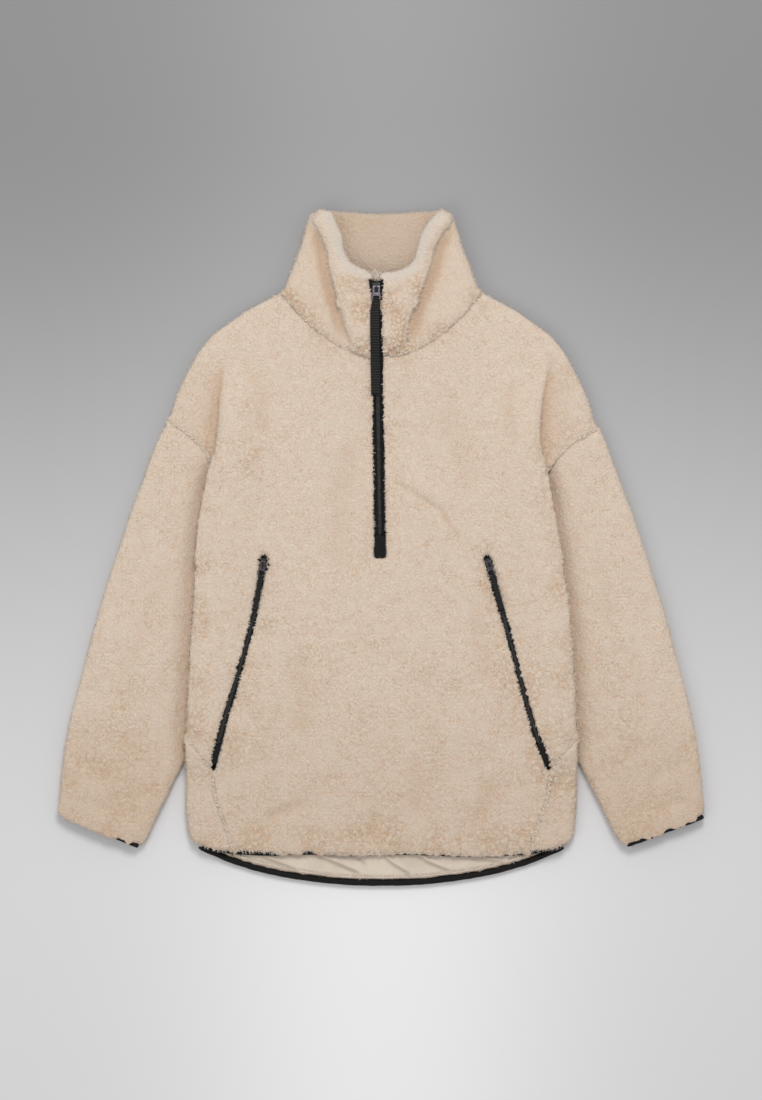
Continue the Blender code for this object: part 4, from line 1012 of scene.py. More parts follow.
    def shades(self, points: Array, normals: Array) -> tuple[Array, Array, Array]:
        """How far each place takes the collar's rim colour, the inside colour, and the crevice colour as
        painted shade; on all but the collar, the inside colour is painted shade too, deeper towards the hem
        and cuffs.
        """
        # painted shade: the inside colour deepens towards the hem and the cuffs
        return np.zeros(len(points)), 0.30 * ease(-0.10, -0.36, points[:, 1]), np.zeros(len(points))


@dataclass
class FrontPiece(FleecePiece):
    """The front, curlier along the zips, the neck, the folded sides and the hem."""

    curly: tuple = (
        path(-12, 0, -9, 220),
        path(9, 0, 3, 220),
        path(-128, 320, -92, 285, -55, 252, -16, 236),
        path(128, 320, 92, 285, 55, 252, 16, 236),
        path(-202, 120, -216, 70, -226, 0, -234, -120, -236, -230),
        path(198, 120, 206, 70, 220, 0, 236, -120, 236, -230),
        path(-140, -10, -168, -150, -205, -275),
        path(128, -10, 168, -150, 205, -275),
        path(-185, -368, -60, -370, 60, -370, 185, -368),
        path(142, -70, 152, -165),
        path(-160, 180, -158, 100),
    )
    calm: float = 0.16
    towards_hem: float = 0.48
    in_patches: float = 0.20
    near_seams: float = 0.55
    at_shoulders: float = 0.35

    def strength(self, points: Array, normals: Array) -> Array:
        """Curlier along the seams and edges, calmer in the middle of each half."""
        y = points[:, 1]
        patch = ease(-0.35, 0.65, swell(points, 0.07, 31)) * ease(0.02, -0.20, y)
        shoulder = np.max([ease(0.0, 0.006, beyond_edge(points, side)) for side in SIDES], axis=0)
        shoulder *= ease(0.245, 0.215, y) * ease(0.080, 0.100, y)
        near = ease(0.030, 0.006, nearest(points, self.curly))
        return (self.calm + self.towards_hem * ease(0.05, -0.33, y) + self.in_patches * patch
                + self.near_seams * near + self.at_shoulders * shoulder)

    def shades(self, points: Array, normals: Array) -> tuple[Array, Array, Array]:
        """The soft shade of the sleeves' heads, beside the chest's folded edges."""
        rim, inside, _ = super().shades(points, normals)
        level = ease(0.240, 0.205, points[:, 1]) * ease(0.085, 0.100, points[:, 1]) * (normals[:, 2] > 0)
        return rim, inside, level * fold_shade(points, 0.0050, 0.030, 0.55)


@dataclass
class SleevePiece(FleecePiece):
    """A sleeve, calmer than the body and shaded where the body lies over it."""

    calm: float = 0.34
    towards_cuff: float = 0.46
    cuff_shade: float = 0.15

    def strength(self, points: Array, normals: Array) -> Array:
        """Calm, and curlier towards the cuff."""
        return self.calm + self.towards_cuff * ease(-0.05, -0.30, points[:, 1])

    def shades(self, points: Array, normals: Array) -> tuple[Array, Array, Array]:
        """The soft shade beside the body's folded edge, and towards the cuff."""
        rim, inside, _ = super().shades(points, normals)
        top, y = normals[:, 2] > 0, points[:, 1]
        beside_body = ease(0.125, 0.110, y) * top * fold_shade(points, 0.0060, 0.024, 0.50)
        return rim, inside, np.maximum(beside_body, self.cuff_shade * ease(-0.18, -0.33, y) * top)


@dataclass
class CollarPiece(FleecePiece):
    """The collar: big curls on its folded front, a calm inside, and a paler rim between them."""

    rim_line: tuple = path(-62, 418.5, -56, 404, -49, 388, -46.5, 370, -37, 355, -20, 346, 4, 343, 26, 347,
                           40, 358, 44.5, 374, 50, 390, 59, 406, 69, 418.5)
    inner_seam: tuple = path(-48, 392, -20, 390.5, 15, 390.5, 48, 392)
    folds: tuple = (
        path(-89, 403, -82.5, 392, -73, 369, -70.5, 350, -63, 319, -53.5, 286, -42.5, 252),
        path(91.5, 403, 80, 389, 70, 369, 66.5, 350, 55, 319, 42.5, 290, 35, 252),
    )
    inner_top: float = 0.0165       # the top of the collar's back, which its front part stands over
    calm: float = 0.35
    curls: float = 0.80
    fold_depth: float = 0.62

    def strength(self, points: Array, normals: Array) -> Array:
        """Big curls on the front, calm inside the neck."""
        rim, inside, _ = self.shades(points, normals)
        front = ease(0.062, 0.045, np.abs(points[:, 0] + 0.003)) * ease(0.345, 0.325, points[:, 1])
        front *= ease(0.006, 0.012, points[:, 2])
        low = ease(0.020, 0.006, nearest(points, both(NECK_SEAM)))
        curls = self.calm + self.curls * np.maximum(front, 0.8 * low)
        return curls * (1 + 0.9 * inside) * (1 - 0.6 * rim)

    def shades(self, points: Array, normals: Array) -> tuple[Array, Array, Array]:
        """The rim's, the inside's and the crevice colour's share at each place."""
        above = ease(self.inner_top, self.inner_top + 0.006, points[:, 2])
        rim = ease(0.016, 0.007, from_line(points, self.rim_line)[0]) * above
        hole = points[:, 1] > np.interp(points[:, 0], *np.array(self.rim_line).T)
        off_back = ease(0.0045, 0.0090, points[:, 2])
        shade = np.zeros(len(points))
        ends = ease(0.250, 0.285, points[:, 1]) * ease(0.415, 0.380, points[:, 1])
        for side, line in zip(SIDES, self.folds):
            outward = beyond(points, line, side)
            wide = np.where(outward > 0, 0.0095, 0.0030)
            fold = self.fold_depth * np.exp(-((outward / wide) ** 2)) * ends
            shade = np.maximum(shade, fold + 0.09 * (outward > 0))
        return rim, np.where(hole, 1 - above, 0) * off_back, shade * np.where(hole, 0, 1) * off_back

    def raise_pile(self, thing: Object) -> None:
        """The pile, with the seam inside the back of the collar."""
        points = points_of(thing)
        low = (points[:, 2] < self.inner_top) & (points[:, 2] > 0.006)
        away = from_line(points, self.inner_seam)[0]
        points[:, 2] -= np.where(low, 0.0012 * np.exp(-((away / 0.0016) ** 2)), 0)
        place_points(thing, points)
        super().raise_pile(thing)


# ---------------------------------------------------------------- loose locks
@dataclass(frozen=True)
class Lock:
    """One kind of loose lock of pile: a tapering curl."""

    length: float
    thickness: float
    curl: float
    turns: float = 0.9
    rings: int = 6
    sides: int = 3
    spacing: float = 0.0015     # how far apart they stand in a row
    over: float = 0.0           # how far behind an edge their roots are at most

    def grow(self, roots: Array, ways: Array, seed: int) -> tuple[Array, list]:
        """Makes a lock at each root.

        Args:
            roots: Where the locks start.
            ways: Which way each one points.
            seed: Picks their lengths and curls.

        Returns:
            The points and faces of all of them.
        """
        chance = np.random.default_rng(seed)
        count = len(roots)
        way = ways / np.linalg.norm(ways, axis=1)[:, None]
        side = np.cross(way, chance.normal(size=(count, 3)))
        side /= np.linalg.norm(side, axis=1)[:, None]
        lift = np.cross(side, way)
        length = self.length * chance.uniform(0.55, 1.35, (count, 1))
        curl = self.curl * chance.uniform(0.5, 1.3, (count, 1))
        share = np.linspace(0, 1, self.rings)
        turn = 2 * math.pi * self.turns * chance.uniform(0.6, 1.3, (count, 1)) * share
        reach = [length * share, curl * np.sin(turn) * share ** 0.5, curl * (1 - np.cos(turn)) * share ** 0.5]
        middle = roots[:, None] + sum(
            axis[:, None] * along[..., None] for axis, along in zip((way, side, lift), reach))
        run = np.gradient(middle, axis=1)
        run /= np.linalg.norm(run, axis=2)[..., None] + TINY
        first = np.cross(run, (side + 0.6 * lift)[:, None])
        first /= np.linalg.norm(first, axis=2)[..., None] + TINY
        second = np.cross(run, first)
        radius = self.thickness / 2 * chance.uniform(0.7, 1.3, (count, 1)) * (1 - 0.85 * share ** 1.8)
        round_it = 2 * math.pi * np.arange(self.sides) / self.sides
        points = middle[:, :, None] + radius[:, :, None, None] * (
            first[:, :, None] * np.cos(round_it)[:, None] + second[:, :, None] * np.sin(round_it)[:, None])
        ring = np.arange(self.sides)
        after = (ring + 1) % self.sides
        levels = self.sides * np.arange(self.rings - 1)[:, None]
        wall = np.stack([levels + ring, levels + after, levels + self.sides + after,
                         levels + self.sides + ring], axis=2).reshape(-1, 4)
        starts = self.sides * self.rings * np.arange(count)[:, None, None]
        faces = (wall + starts).reshape(-1, 4).tolist()
        faces += (ring[::-1] + starts[:, 0]).tolist()
        faces += (ring + self.sides * (self.rings - 1) + starts[:, 0]).tolist()
        return points.reshape(-1, 3), faces


EDGE_LOCK = Lock(0.0026, 0.0013, 0.0013, turns=1.1, rings=5)
SEAM_LOCK = Lock(0.0026, 0.0012, 0.0011, turns=1.2, sides=4, spacing=0.0017, over=0.0016)
ZIP_LOCK = Lock(0.0033, 0.0015, 0.0010, sides=4, spacing=0.0012, over=0.0022)
HEM_LOCK = Lock(0.0042, 0.0013, 0.0014, turns=1.1, spacing=0.0012, over=0.0030)
FRINGE_LOCK = Lock(0.0022, 0.0015, 0.0009, turns=1.0, rings=5, sides=4, spacing=0.0010, over=0.0008)
FILL_LOCK = Lock(0.0038, 0.0024, 0.0012, turns=1.2, sides=4, spacing=0.0008)
FUZZ = Lock(0.0034, 0.0013, 0.0009, turns=0.8, rings=5, sides=4, spacing=0.0014, over=0.0006)
HAIR = Lock(0.0080, 0.0003, 0.0016, turns=0.6, rings=5)


@dataclass
class Locks:
    """Grows loose locks out of some pieces."""

    cloth: list
    look: Look
    seed: int = 5
    depth: float = 0.0006       # how far below the cloth's top a root is
    inset: float = 0.0012       # how far inside an outline a root is
    clear: float = 0.006        # how much room a lock at an outline needs in front of it
    lowest: float = 0.0003      # no lock goes below this
    ends: float = 0.003         # how much of a groove stays free at both ends
    half: float = 0.0045        # how far from its line a groove's sides are measured
    below: float = 0.0007       # how far below the lower side of a groove its locks lie
    stray: float = 0.0014       # how far a root in a groove strays from its line at most
    tuft_lowest: float = 0.0114     # no tuft has a root below this

    def __post_init__(self) -> None:
        """Gathers the points that locks can grow from."""
        self.chance = np.random.default_rng(self.seed)
        self.points = np.vstack([points_of(thing) for thing in self.cloth])
        self.normals = np.vstack([normals_of(thing) for thing in self.cloth])
        self.tree = tree_of(*self.cloth)

    def root_height(self, x: float, y: float, level: float | None) -> float | None:
        """A root's height: the given level, or just below the cloth's top, or None where it has none."""
        if level is not None:
            return level
        top = height_at(self.tree, x, y)
        return None if top is None else top - self.depth

    def piece(
        self, name: str, lock: Lock, roots: Array, ways: Array, look: Look | None = None,
    ) -> Object:
        """One piece of locks, dressed and riding with the garment."""
        points, faces = lock.grow(np.array(roots), np.array(ways), self.seed + len(name))
        points[:, 2] = np.maximum(points[:, 2], self.lowest)
        return dressed(made_of(name, points, faces), look or self.look)

    def edges(self, name: str, lock: Lock, tries: int) -> Object:
        """Locks all round the outline of the pieces and along their open edges.

        Args:
            name: The new piece's name.
            lock: The kind of lock.
            tries: How many points to try.

        Returns:
            The new piece.
        """
        rising = np.nonzero((np.abs(self.normals[:, 2]) < 0.5) & (self.points[:, 2] > 0.0015))[0]
        chosen = rising[self.chance.permutation(len(rising))[:tries]]
        roots, ways = self.points[chosen], self.normals[chosen].copy()
        ways[:, 2] *= 0.4
        ways += 0.35 * self.chance.normal(size=ways.shape)
        ways /= np.linalg.norm(ways, axis=1)[:, None]
        free = open_ways(self.tree, roots + self.inset * ways, ways, self.clear)
        roots, ways = roots[free] - self.inset * ways[free], ways[free]
        low = roots[:, 2] + lock.length * ways[:, 2] < 0.001
        ways[low, 2] = np.abs(ways[low, 2])
        return self.piece(name, lock, roots, ways)

    def along(
        self, name: str, lock: Lock, lines: list, level: float | None = None, look: Look | None = None,
        rise: float = 0.1,
    ) -> Object:
        """Locks that lean over an edge.

        Args:
            name: The new piece's name.
            lock: The kind of lock.
            lines: The edges' lines, each with the side that its locks lean to.
            level: Their roots' height, if not the cloth's.
            look: Their finish, if not the usual one.
            rise: How steeply they rise on the whole.

        Returns:
            The new piece.
        """
        roots, ways = [], []
        for line, lean in lines:
            end = marks_of(line)[-1]
            at = np.arange(0.3 * lock.spacing, end, lock.spacing)
            at = np.clip(at + self.chance.uniform(-0.45, 0.45, len(at)) * lock.spacing, 0, end)
            spots, run = stations(line, at)
            out = np.stack([-run[:, 1], run[:, 0]], axis=1) * lean
            spots = spots - out * self.chance.uniform(0.0, lock.over, (len(at), 1))
            for (x, y), (u, v) in zip(spots, out):
                height = self.root_height(x, y, level)
                if height is not None:
                    roots.append((x, y, height))
                    ways.append((u, v, self.chance.uniform(-0.35, 0.35) + rise))
        ways = np.array(ways)
        ways[:, :2] += 0.45 * self.chance.normal(size=(len(ways), 2))
        return self.piece(name, lock, roots, ways, look)

    def fill(self, name: str, lock: Lock, lines: list, look: Look) -> Object:
        """Locks that lie in the grooves between sewn or folded pieces.

        Args:
            name: The new piece's name.
            lock: The kind of lock.
            lines: The grooves' lines.
            look: Their finish.

        Returns:
            The new piece.
        """
        roots, ways = [], []
        for line in lines:
            spots, runs = stations(line, np.arange(self.ends, marks_of(line)[-1] - self.ends, lock.spacing))
            for spot, run in zip(spots, runs):
                out = np.array([-run[1], run[0]])
                sides = [height_at(self.tree, *(spot + side * self.half * out)) for side in SIDES]
                if None in sides:
                    continue
                root = spot + out * self.chance.uniform(-self.stray, self.stray)
                roots.append((*root, min(sides) - self.below))
                ways.append((*(run * self.chance.choice((-1, 1)) + 0.35 * self.chance.normal(size=2)), 0.0))
        return self.piece(name, lock, roots, ways, look)

    def tufts(
        self, name: str, lock: Lock, rows: tuple, count: int, look: Look | None = None,
        level: float | None = None,
    ) -> Object:
        """Small tufts of locks.

        Args:
            name: The new piece's name.
            lock: The kind of lock.
            rows: A tuft each: x, y and its radius in millimetres, and the x and y that its locks lean to.
            count: How many locks a tuft has.
            look: Their finish, if not the usual one.
            level: Their roots' height, if not the cloth's.

        Returns:
            The new piece.
        """
        roots, ways = [], []
        for row in rows:
            x, y, radius = metres(*row[:3])
            for u, v in radius * self.chance.normal(size=(count, 2)):
                height = self.root_height(x + u, y + v, level)
                if height is not None and height > self.tuft_lowest:
                    roots.append((x + u, y + v, height))
                    ways.append((*row[3:], 0.35))
        ways = np.array(ways) + 0.4 * self.chance.normal(size=(len(ways), 3))
        return self.piece(name, lock, roots, ways, look)


@dataclass
class LooseLocks:
    """Every place where loose locks stand, with how far beside its line each row of them begins."""

    edge_tries: int = 5400
    neck_slot: tuple = ((-0.0062, 0.3310, 0.0088), (-0.0015, 0.0000, 0.0086))
    neck_tape: tuple = path(-5.1, 190, -2.3, 18)
    neck_tape_half: float = 0.0064
    pocket_half: float = 0.0056
    pocket_tape_half: float = 0.0033
    fringe_level: float = 0.0104
    neck_tuft_level: float = 0.0312
    zip_tufts: tuple = (
        (-6.6, 337.5, 2.8, 0, -1), (-145, -8, 2.8, 0, -1), (130.5, -8, 2.8, 0, -1), (4, 249.5, 1.2, -1, 0),
        (209.2, 99, 1.5, 0.3, -0.3), (-215.2, 111, 1.5, -0.3, -0.3),
    )
    neck_tufts: tuple = ((-6.8, 339, 1.9, 0, -0.6), (-6.8, 341.2, 2.2, 0, 0.1))
    tape_tufts: tuple = (
        (-152, -14, 0.9, -0.3, -1), (-151.5, -20, 0.9, -0.3, -1), (-142.5, -14.5, 0.9, 1, -0.3),
        (-152.2, -26, 0.9, -0.5, -1), (-143.5, -25, 0.9, 0.4, -1), (-143, -20, 0.9, 0.3, -1),
        (-147, -10.5, 1.1, 0, 1), (128.2, -14, 0.8, -0.3, -1), (137.2, -20, 0.8, 0.4, -1),
        (130, -12, 0.8, -0.2, 1), (134, -12, 0.8, 0.2, 1),
    )
    hairs: tuple = (
        (-140, -20, 6, 1, 0.2), (129, -11, 5, -0.5, 1), (-148, -90, 8, 1, -0.3), (150, -90, 8, -1, -0.3),
    )

    def build(self, cloth: list) -> None:
        """Grows every lock.

        Args:
            cloth: The pieces of sherpa.
        """
        locks = Locks(cloth, Look.LOCKS)
        locks.edges("edge_locks", EDGE_LOCK, self.edge_tries)
        seams = [*both(NECK_SEAM), *ARMHOLE.values(), *both(GUSSET)]
        leaning = [(line, s) for s in SIDES for line in seams]
        locks.along("seam_locks", SEAM_LOCK, leaning, look=Look.DEEP_LOCKS)
        edges = [(tuple((x + half * s, y) for x, y, half in self.neck_slot), -s) for s in SIDES]
        edges += [(beside(POCKET[side], self.pocket_half * s), -s) for side in SIDES for s in SIDES]
        locks.along("zip_locks", ZIP_LOCK, edges)
        tapes = Locks([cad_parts[f"{kind.name}_tape"] for kind in ZIPS], Look.TAPE)
        frayed = [(beside(POCKET[side][:-1], self.pocket_tape_half * s), s) for side in SIDES for s in SIDES]
        frayed += [(beside(self.neck_tape, self.neck_tape_half * s), s) for s in SIDES]
        tapes.along("frayed_tapes", FUZZ, frayed, rise=0.75)
        locks.along("hem_locks", HEM_LOCK, [(FRONT_HEM, -1)])
        locks.along("hem_fringe", FRINGE_LOCK, [(BACK_FRINGE, 1)] * 2, self.fringe_level)
        grooves = seams + [line[3:] for line in BODY_EDGE.values()]
        locks.fill("seam_fill", FILL_LOCK, grooves, Look.DEEP_LOCKS)
        locks.tufts("zip_tufts", SEAM_LOCK, self.zip_tufts, 26)
        locks.tufts("neck_tuft", FRINGE_LOCK, self.neck_tufts, 70, level=self.neck_tuft_level)
        locks.tufts("tape_fuzz", FUZZ, self.tape_tufts, 26, Look.TAPE)
        locks.tufts("stray_hairs", HAIR, self.hairs, 9, Look.TAPE)


# ---------------------------------------------------------------- the garment's cloth
@dataclass
class Garment:
    """The cloth of the pullover: front, back, gussets, sleeves and collar."""

    front_creases: tuple = creases(
        (3.8, -2.7, 8, 88, 30, 76, 52, 60, 72, 48, 90, 22, 106, -4),
        (10, 1.9, 30, 90, 62, 70, 88, 46),
        (16, -1.6, -30, 150, -52, 60, -50, -50),
        (14, -1.4, 70, 190, 98, 120, 112, 60),
        (7, -2.9, -150, -340, -118, -328, -86, -316),
        (8, -2.6, -16, -368, -12, -350, -2, -330),
        (10, -2.1, 40, -250, 46, -300, 44, -345),
        (9, -2.2, 110, -352, 128, -318, 132, -280),
        (9, -1.9, -166, 230, -150, 190, -146, 130),
        (9, -1.9, 168, 215, 158, 180, 160, 120),
        (15, -1.6, -105, -120, -98, -190, -104, -250),
        (10, -1.8, 118, -50, 122, -110, 136, -180),
    )
    tucks: tuple = creases(
        (5, -3.6, -197.5, 245, -200, 225, -207, 185, -209.5, 147.5, -215, 110, -219, 85),
        (5, -3.6, 213, 245, 212.5, 225, 206, 185, 203, 147.5, 206, 110, 210, 85),
    )
    collar_creases: tuple = creases(
        (5.8, -4.6, -90, 408, -84.5, 392, -75, 369, -72.5, 350, -65, 319, -55.5, 286, -47, 248),
        (5.8, -4.6, 93, 408, 82, 389, 72, 369, 68.5, 350, 57, 319, 44.5, 290, 38, 248),
        (3.5, -2.2, -45, 322, -30, 317, -16, 313),
        (3.5, -2.2, 5, 312, 18, 318, 30, 323),
    )
    back_creases: tuple = creases(
        (14, -1.2, -120, 200, -90, 50, -100, -100),
        (16, -1.1, 60, 120, 85, -20, 70, -180),
        (12, -1.3, -30, -220, 20, -300, 60, -360),
        (10, -1.2, -180, -200, -140, -280, -120, -360),
    )
    sleeve_creases: tuple = creases(
        (7, -1.8, 386, -262, 362, -276, 336, -292),
        (7, -1.6, 382, -312, 360, -322, 334, -330),
        (9, -1.3, 352, -234, 330, -250, 300, -262),
        (13, -1.1, 300, -110, 318, -160, 326, -215),
        (12, -1, 262, -10, 282, -60, 288, -120),
        (12, 0.9, 330, -80, 346, -130, 350, -180),
        (8, -1.3, 300, -300, 312, -325, 322, -345),
    )
    slot_reach: tuple = profile(0, 0.8, 0.3, 1.9, 1, 1.9)
    pocket_reach: tuple = profile(0, 0, 0.08, 0.6, 0.2, 1.4, 0.75, 1.7, 1, 1)
    hem_reach: tuple = profile(0, 1.6, 0.06, 4.6, 0.095, 3.4, 0.11, 0.4, 0.14, 1.4, 0.16, 0, 0.2, 0.6,
                               0.22, 5, 0.28, 4.8, 0.295, 1.2, 0.31, 1.6, 0.325, 5, 0.5, 5.2, 0.62, 5,
                               0.7, 4.2, 0.78, 5, 0.92, 4.6, 1, 1.4)

    def build(self) -> list:
        """Builds every piece of sherpa and returns them."""
        seams, gusset, back_neck = both(NECK_SEAM), both(GUSSET), both(BACK_NECK)
        edges = tuple(line[3:7] for line in BODY_EDGE.values())
        hem = Overhang(FRONT_HEM, (0.0, -1.0), self.hem_reach, 0.0145)
        pieces = [
            FrontPiece("front", "front_panel", (0.533, 0.699), 0.2906, "laid", "back_panel", Hidden.UNDERSIDE,
                       0.00207, creases=self.front_creases + self.tucks + self.ridges(),
                       seams=seams + gusset + edges + tuple(ARMHOLE.values()),
                       overhangs=(hem, *self.slot_edges(0.000, 0.250, 0.0185), *self.pocket_edges())),
            FleecePiece("back", "back_panel", (0.533, 0.733), 0.3202, "laid", "floor", Hidden.TOP, 0.0042,
                        creases=self.back_creases, seams=back_neck, keep_below=-0.352, curliness=0.45),
            CollarPiece("collar_band", "collar", (0.420, 0.190), 0.0568, "folded", "front_panel",
                        Hidden.INSIDE, 0.00158, nap=Nap(clump=0.0062, dome=0.0009),
                        creases=self.collar_creases, seams=seams + back_neck,
                        overhangs=self.slot_edges(0.235, 0.333, 0.0290), both_skins=False, look=Look.CURLS),
        ]
        for side, where in SIDES.items():
            cuff = Overhang(CUFF[side], (0.42 * side, -0.91), CUFF_REACH[side], 0.0125, ragged=0.22)
            folds = tuple(Crease(fold.line if side > 0 else flipped(fold.line), fold.width, fold.height)
                          for fold in self.sleeve_creases)
            pieces += [
                SleevePiece(f"sleeve_{where}_cloth", f"sleeve_{where}", (0.262, 0.524), 0.1229, "folded",
                            "floor", Hidden.INSIDE, 0.0022, creases=folds, overhangs=(cuff,),
                            seams=(ARMHOLE[side], BODY_EDGE[side][3:6])),
                FleecePiece(f"gusset_{where}_cloth", f"side_gusset_{where}", (0.118, 0.152), 0.0107, "folded",
                            "floor", Hidden.INSIDE, 0.0018, nap=Nap(clump=0.0080), creases=self.ridges(),
                            seams=gusset),
            ]
        return [piece.build() for piece in pieces]

    def ridges(self) -> tuple:
        """The soft ridges on both sides of the gussets' seams."""
        return tuple(Crease(line, 0.0034, 0.0017)
                     for by in (-0.0050, 0.0050) for line in both(beside(GUSSET, by)))

    def slot_edges(self, low: float, high: float, above: float) -> tuple:
        """The ragged pile along both edges of the neck zip's slot, whose middle leans a little."""
        middle = tuple((-0.0065 + (0.333 - y) * 0.0145, y) for y in (high, low))
        return tuple(Overhang(beside(middle, 0.0075 * side), (-side, 0.0), self.slot_reach, above, 0.0050,
                              1.3, 0.0042) for side in SIDES)

    def pocket_edges(self) -> tuple:
        """The ragged pile along both edges of each pocket zip's slot."""
        return tuple(Overhang(beside(line[:-1], 0.0047 * side), (-side, 0.0), self.pocket_reach, 0.0165,
                              0.0050, 1.6, 0.0046) for line in POCKET.values() for side in SIDES)


@dataclass
class Lining:
    """The woven lining that shows between the two hems."""

    step: float = 0.0018
    wide: tuple = (-0.176, 0.176)
    long: tuple = (-0.412, -0.374)
    deepest: float = 0.0009
    slope: float = 0.0012       # the shade shows how the creases rise over twice this length
    wrinkles: tuple = creases(
        (3, 2.1, -158, -380, -132, -390, -100, -402),
        (2.6, -1.4, -150, -376, -118, -380, -88, -392),
        (3.2, 2.4, -96, -376, -60, -390, -20, -407),
        (2.6, -1.4, -60, -379, -40, -385, -16, -400),
        (3, 2.2, -4, -376, 14, -392, 40, -408),
        (3.2, 2.3, 40, -376, 58, -390, 92, -404),
        (2.6, -1.3, 70, -379, 90, -383, 128, -396),
        (3, 2, 104, -377, 128, -387, 160, -392),
        (2.8, -1.3, -20, -378, -26, -392, -20, -409),
        (2.6, 1.4, 150, -376, 160, -382, 172, -385),
    )

    def build(self) -> Object:
        thing = copy_of("back_lining", "back_lining_cloth")
        sliced(thing, [(axis, place) for axis, ends in enumerate((self.wide, self.long))
                       for place in np.arange(*ends, self.step)])
        points = points_of(thing)
        lift = 0.0004 * swell(points * (1.0, 1.6, 0.0), 0.030, 41) + lifted(points, self.wrinkles)
        top = ease(0.0094, 0.0104, points[:, 2]) * ease(-0.376, -0.384, points[:, 1])
        points[:, 2] += np.maximum(lift, -self.deepest) * top
        place_points(thing, points)
        beyond, before = (lifted(points + (0, step, 0), self.wrinkles) for step in (self.slope, -self.slope))
        keep_values(thing, "shade", np.clip((beyond - before) / 0.0011, 0, 1) * top)
        dressed(thing, Look.WEAVE, "back_lining")
        return thing


# ---------------------------------------------------------------- trims
@dataclass
class Trim:
    """A textile trim made from its solid, with finer faces and a little unevenness."""

    node: str
    name: str
    look: Look
    uneven: float = 0.0005
    thicker: float = 0.0
    levels: int = 2
    rounding: str = "SIMPLE"
    grain: float = 0.006

    def build(self) -> Object:
        """Makes the piece and dresses it."""
        thing = copy_of(self.node, self.name)
        finished_with(
            thing, "SUBSURF", levels=self.levels, render_levels=self.levels, subdivision_type=self.rounding)
        points, normals = points_of(thing), normals_of(thing)
        lift = self.thicker + self.uneven * (
            swell(points, self.grain, 43) + 0.3 * swell(points, 0.35 * self.grain, 47) - 0.4)
        moved = points + normals * lift[:, None]
        moved[:, 2] = np.maximum(moved[:, 2], 0.0001)
        place_points(thing, moved)
        return dressed(thing, self.look, self.node)


@dataclass
class Webbing:
    """A strip of ribbed webbing, made from its solid and cut across so that its ribs can stand out."""

    node: str
    name: str
    body: Body
    drift: tuple
    narrow: float
    rib: float = 0.0033
    height: float = 0.00022
    cuts_a_rib: int = 4

    def build(self) -> Object:
        """Makes the strip and dresses it."""
        thing = copy_of(self.node, self.name)
        ends = points_of(thing)[:, 1]
        sliced(thing, [(1, y) for y in np.arange(ends.min(), ends.max(), self.rib / self.cuts_a_rib)[1:]])
        points, normals = points_of(thing), normals_of(thing)
        ribs = np.cos(2 * math.pi * (points[:, 1] - ends.min()) / self.rib) * (np.abs(normals[:, 2]) > 0.6)
        moved = points + normals * (self.height * ribs)[:, None]
        flat = moved[:, :2] - moved[:, :2].mean(axis=0)
        run = np.linalg.svd(flat, full_matrices=False)[2][0]
        moved[:, :2] += (self.narrow - 1) * (flat - np.outer(flat @ run, run))
        moved[:, 0] += np.interp(points[:, 1], *np.array(self.drift).T)
        place_points(thing, moved)
        # painted highlight on the ribs' crests, kept for the material
        keep_values(thing, "ridge", ease(-0.2, 0.9, ribs))
        return dressed(thing, Look.WEBBING, self.node, self.body, hard=True)


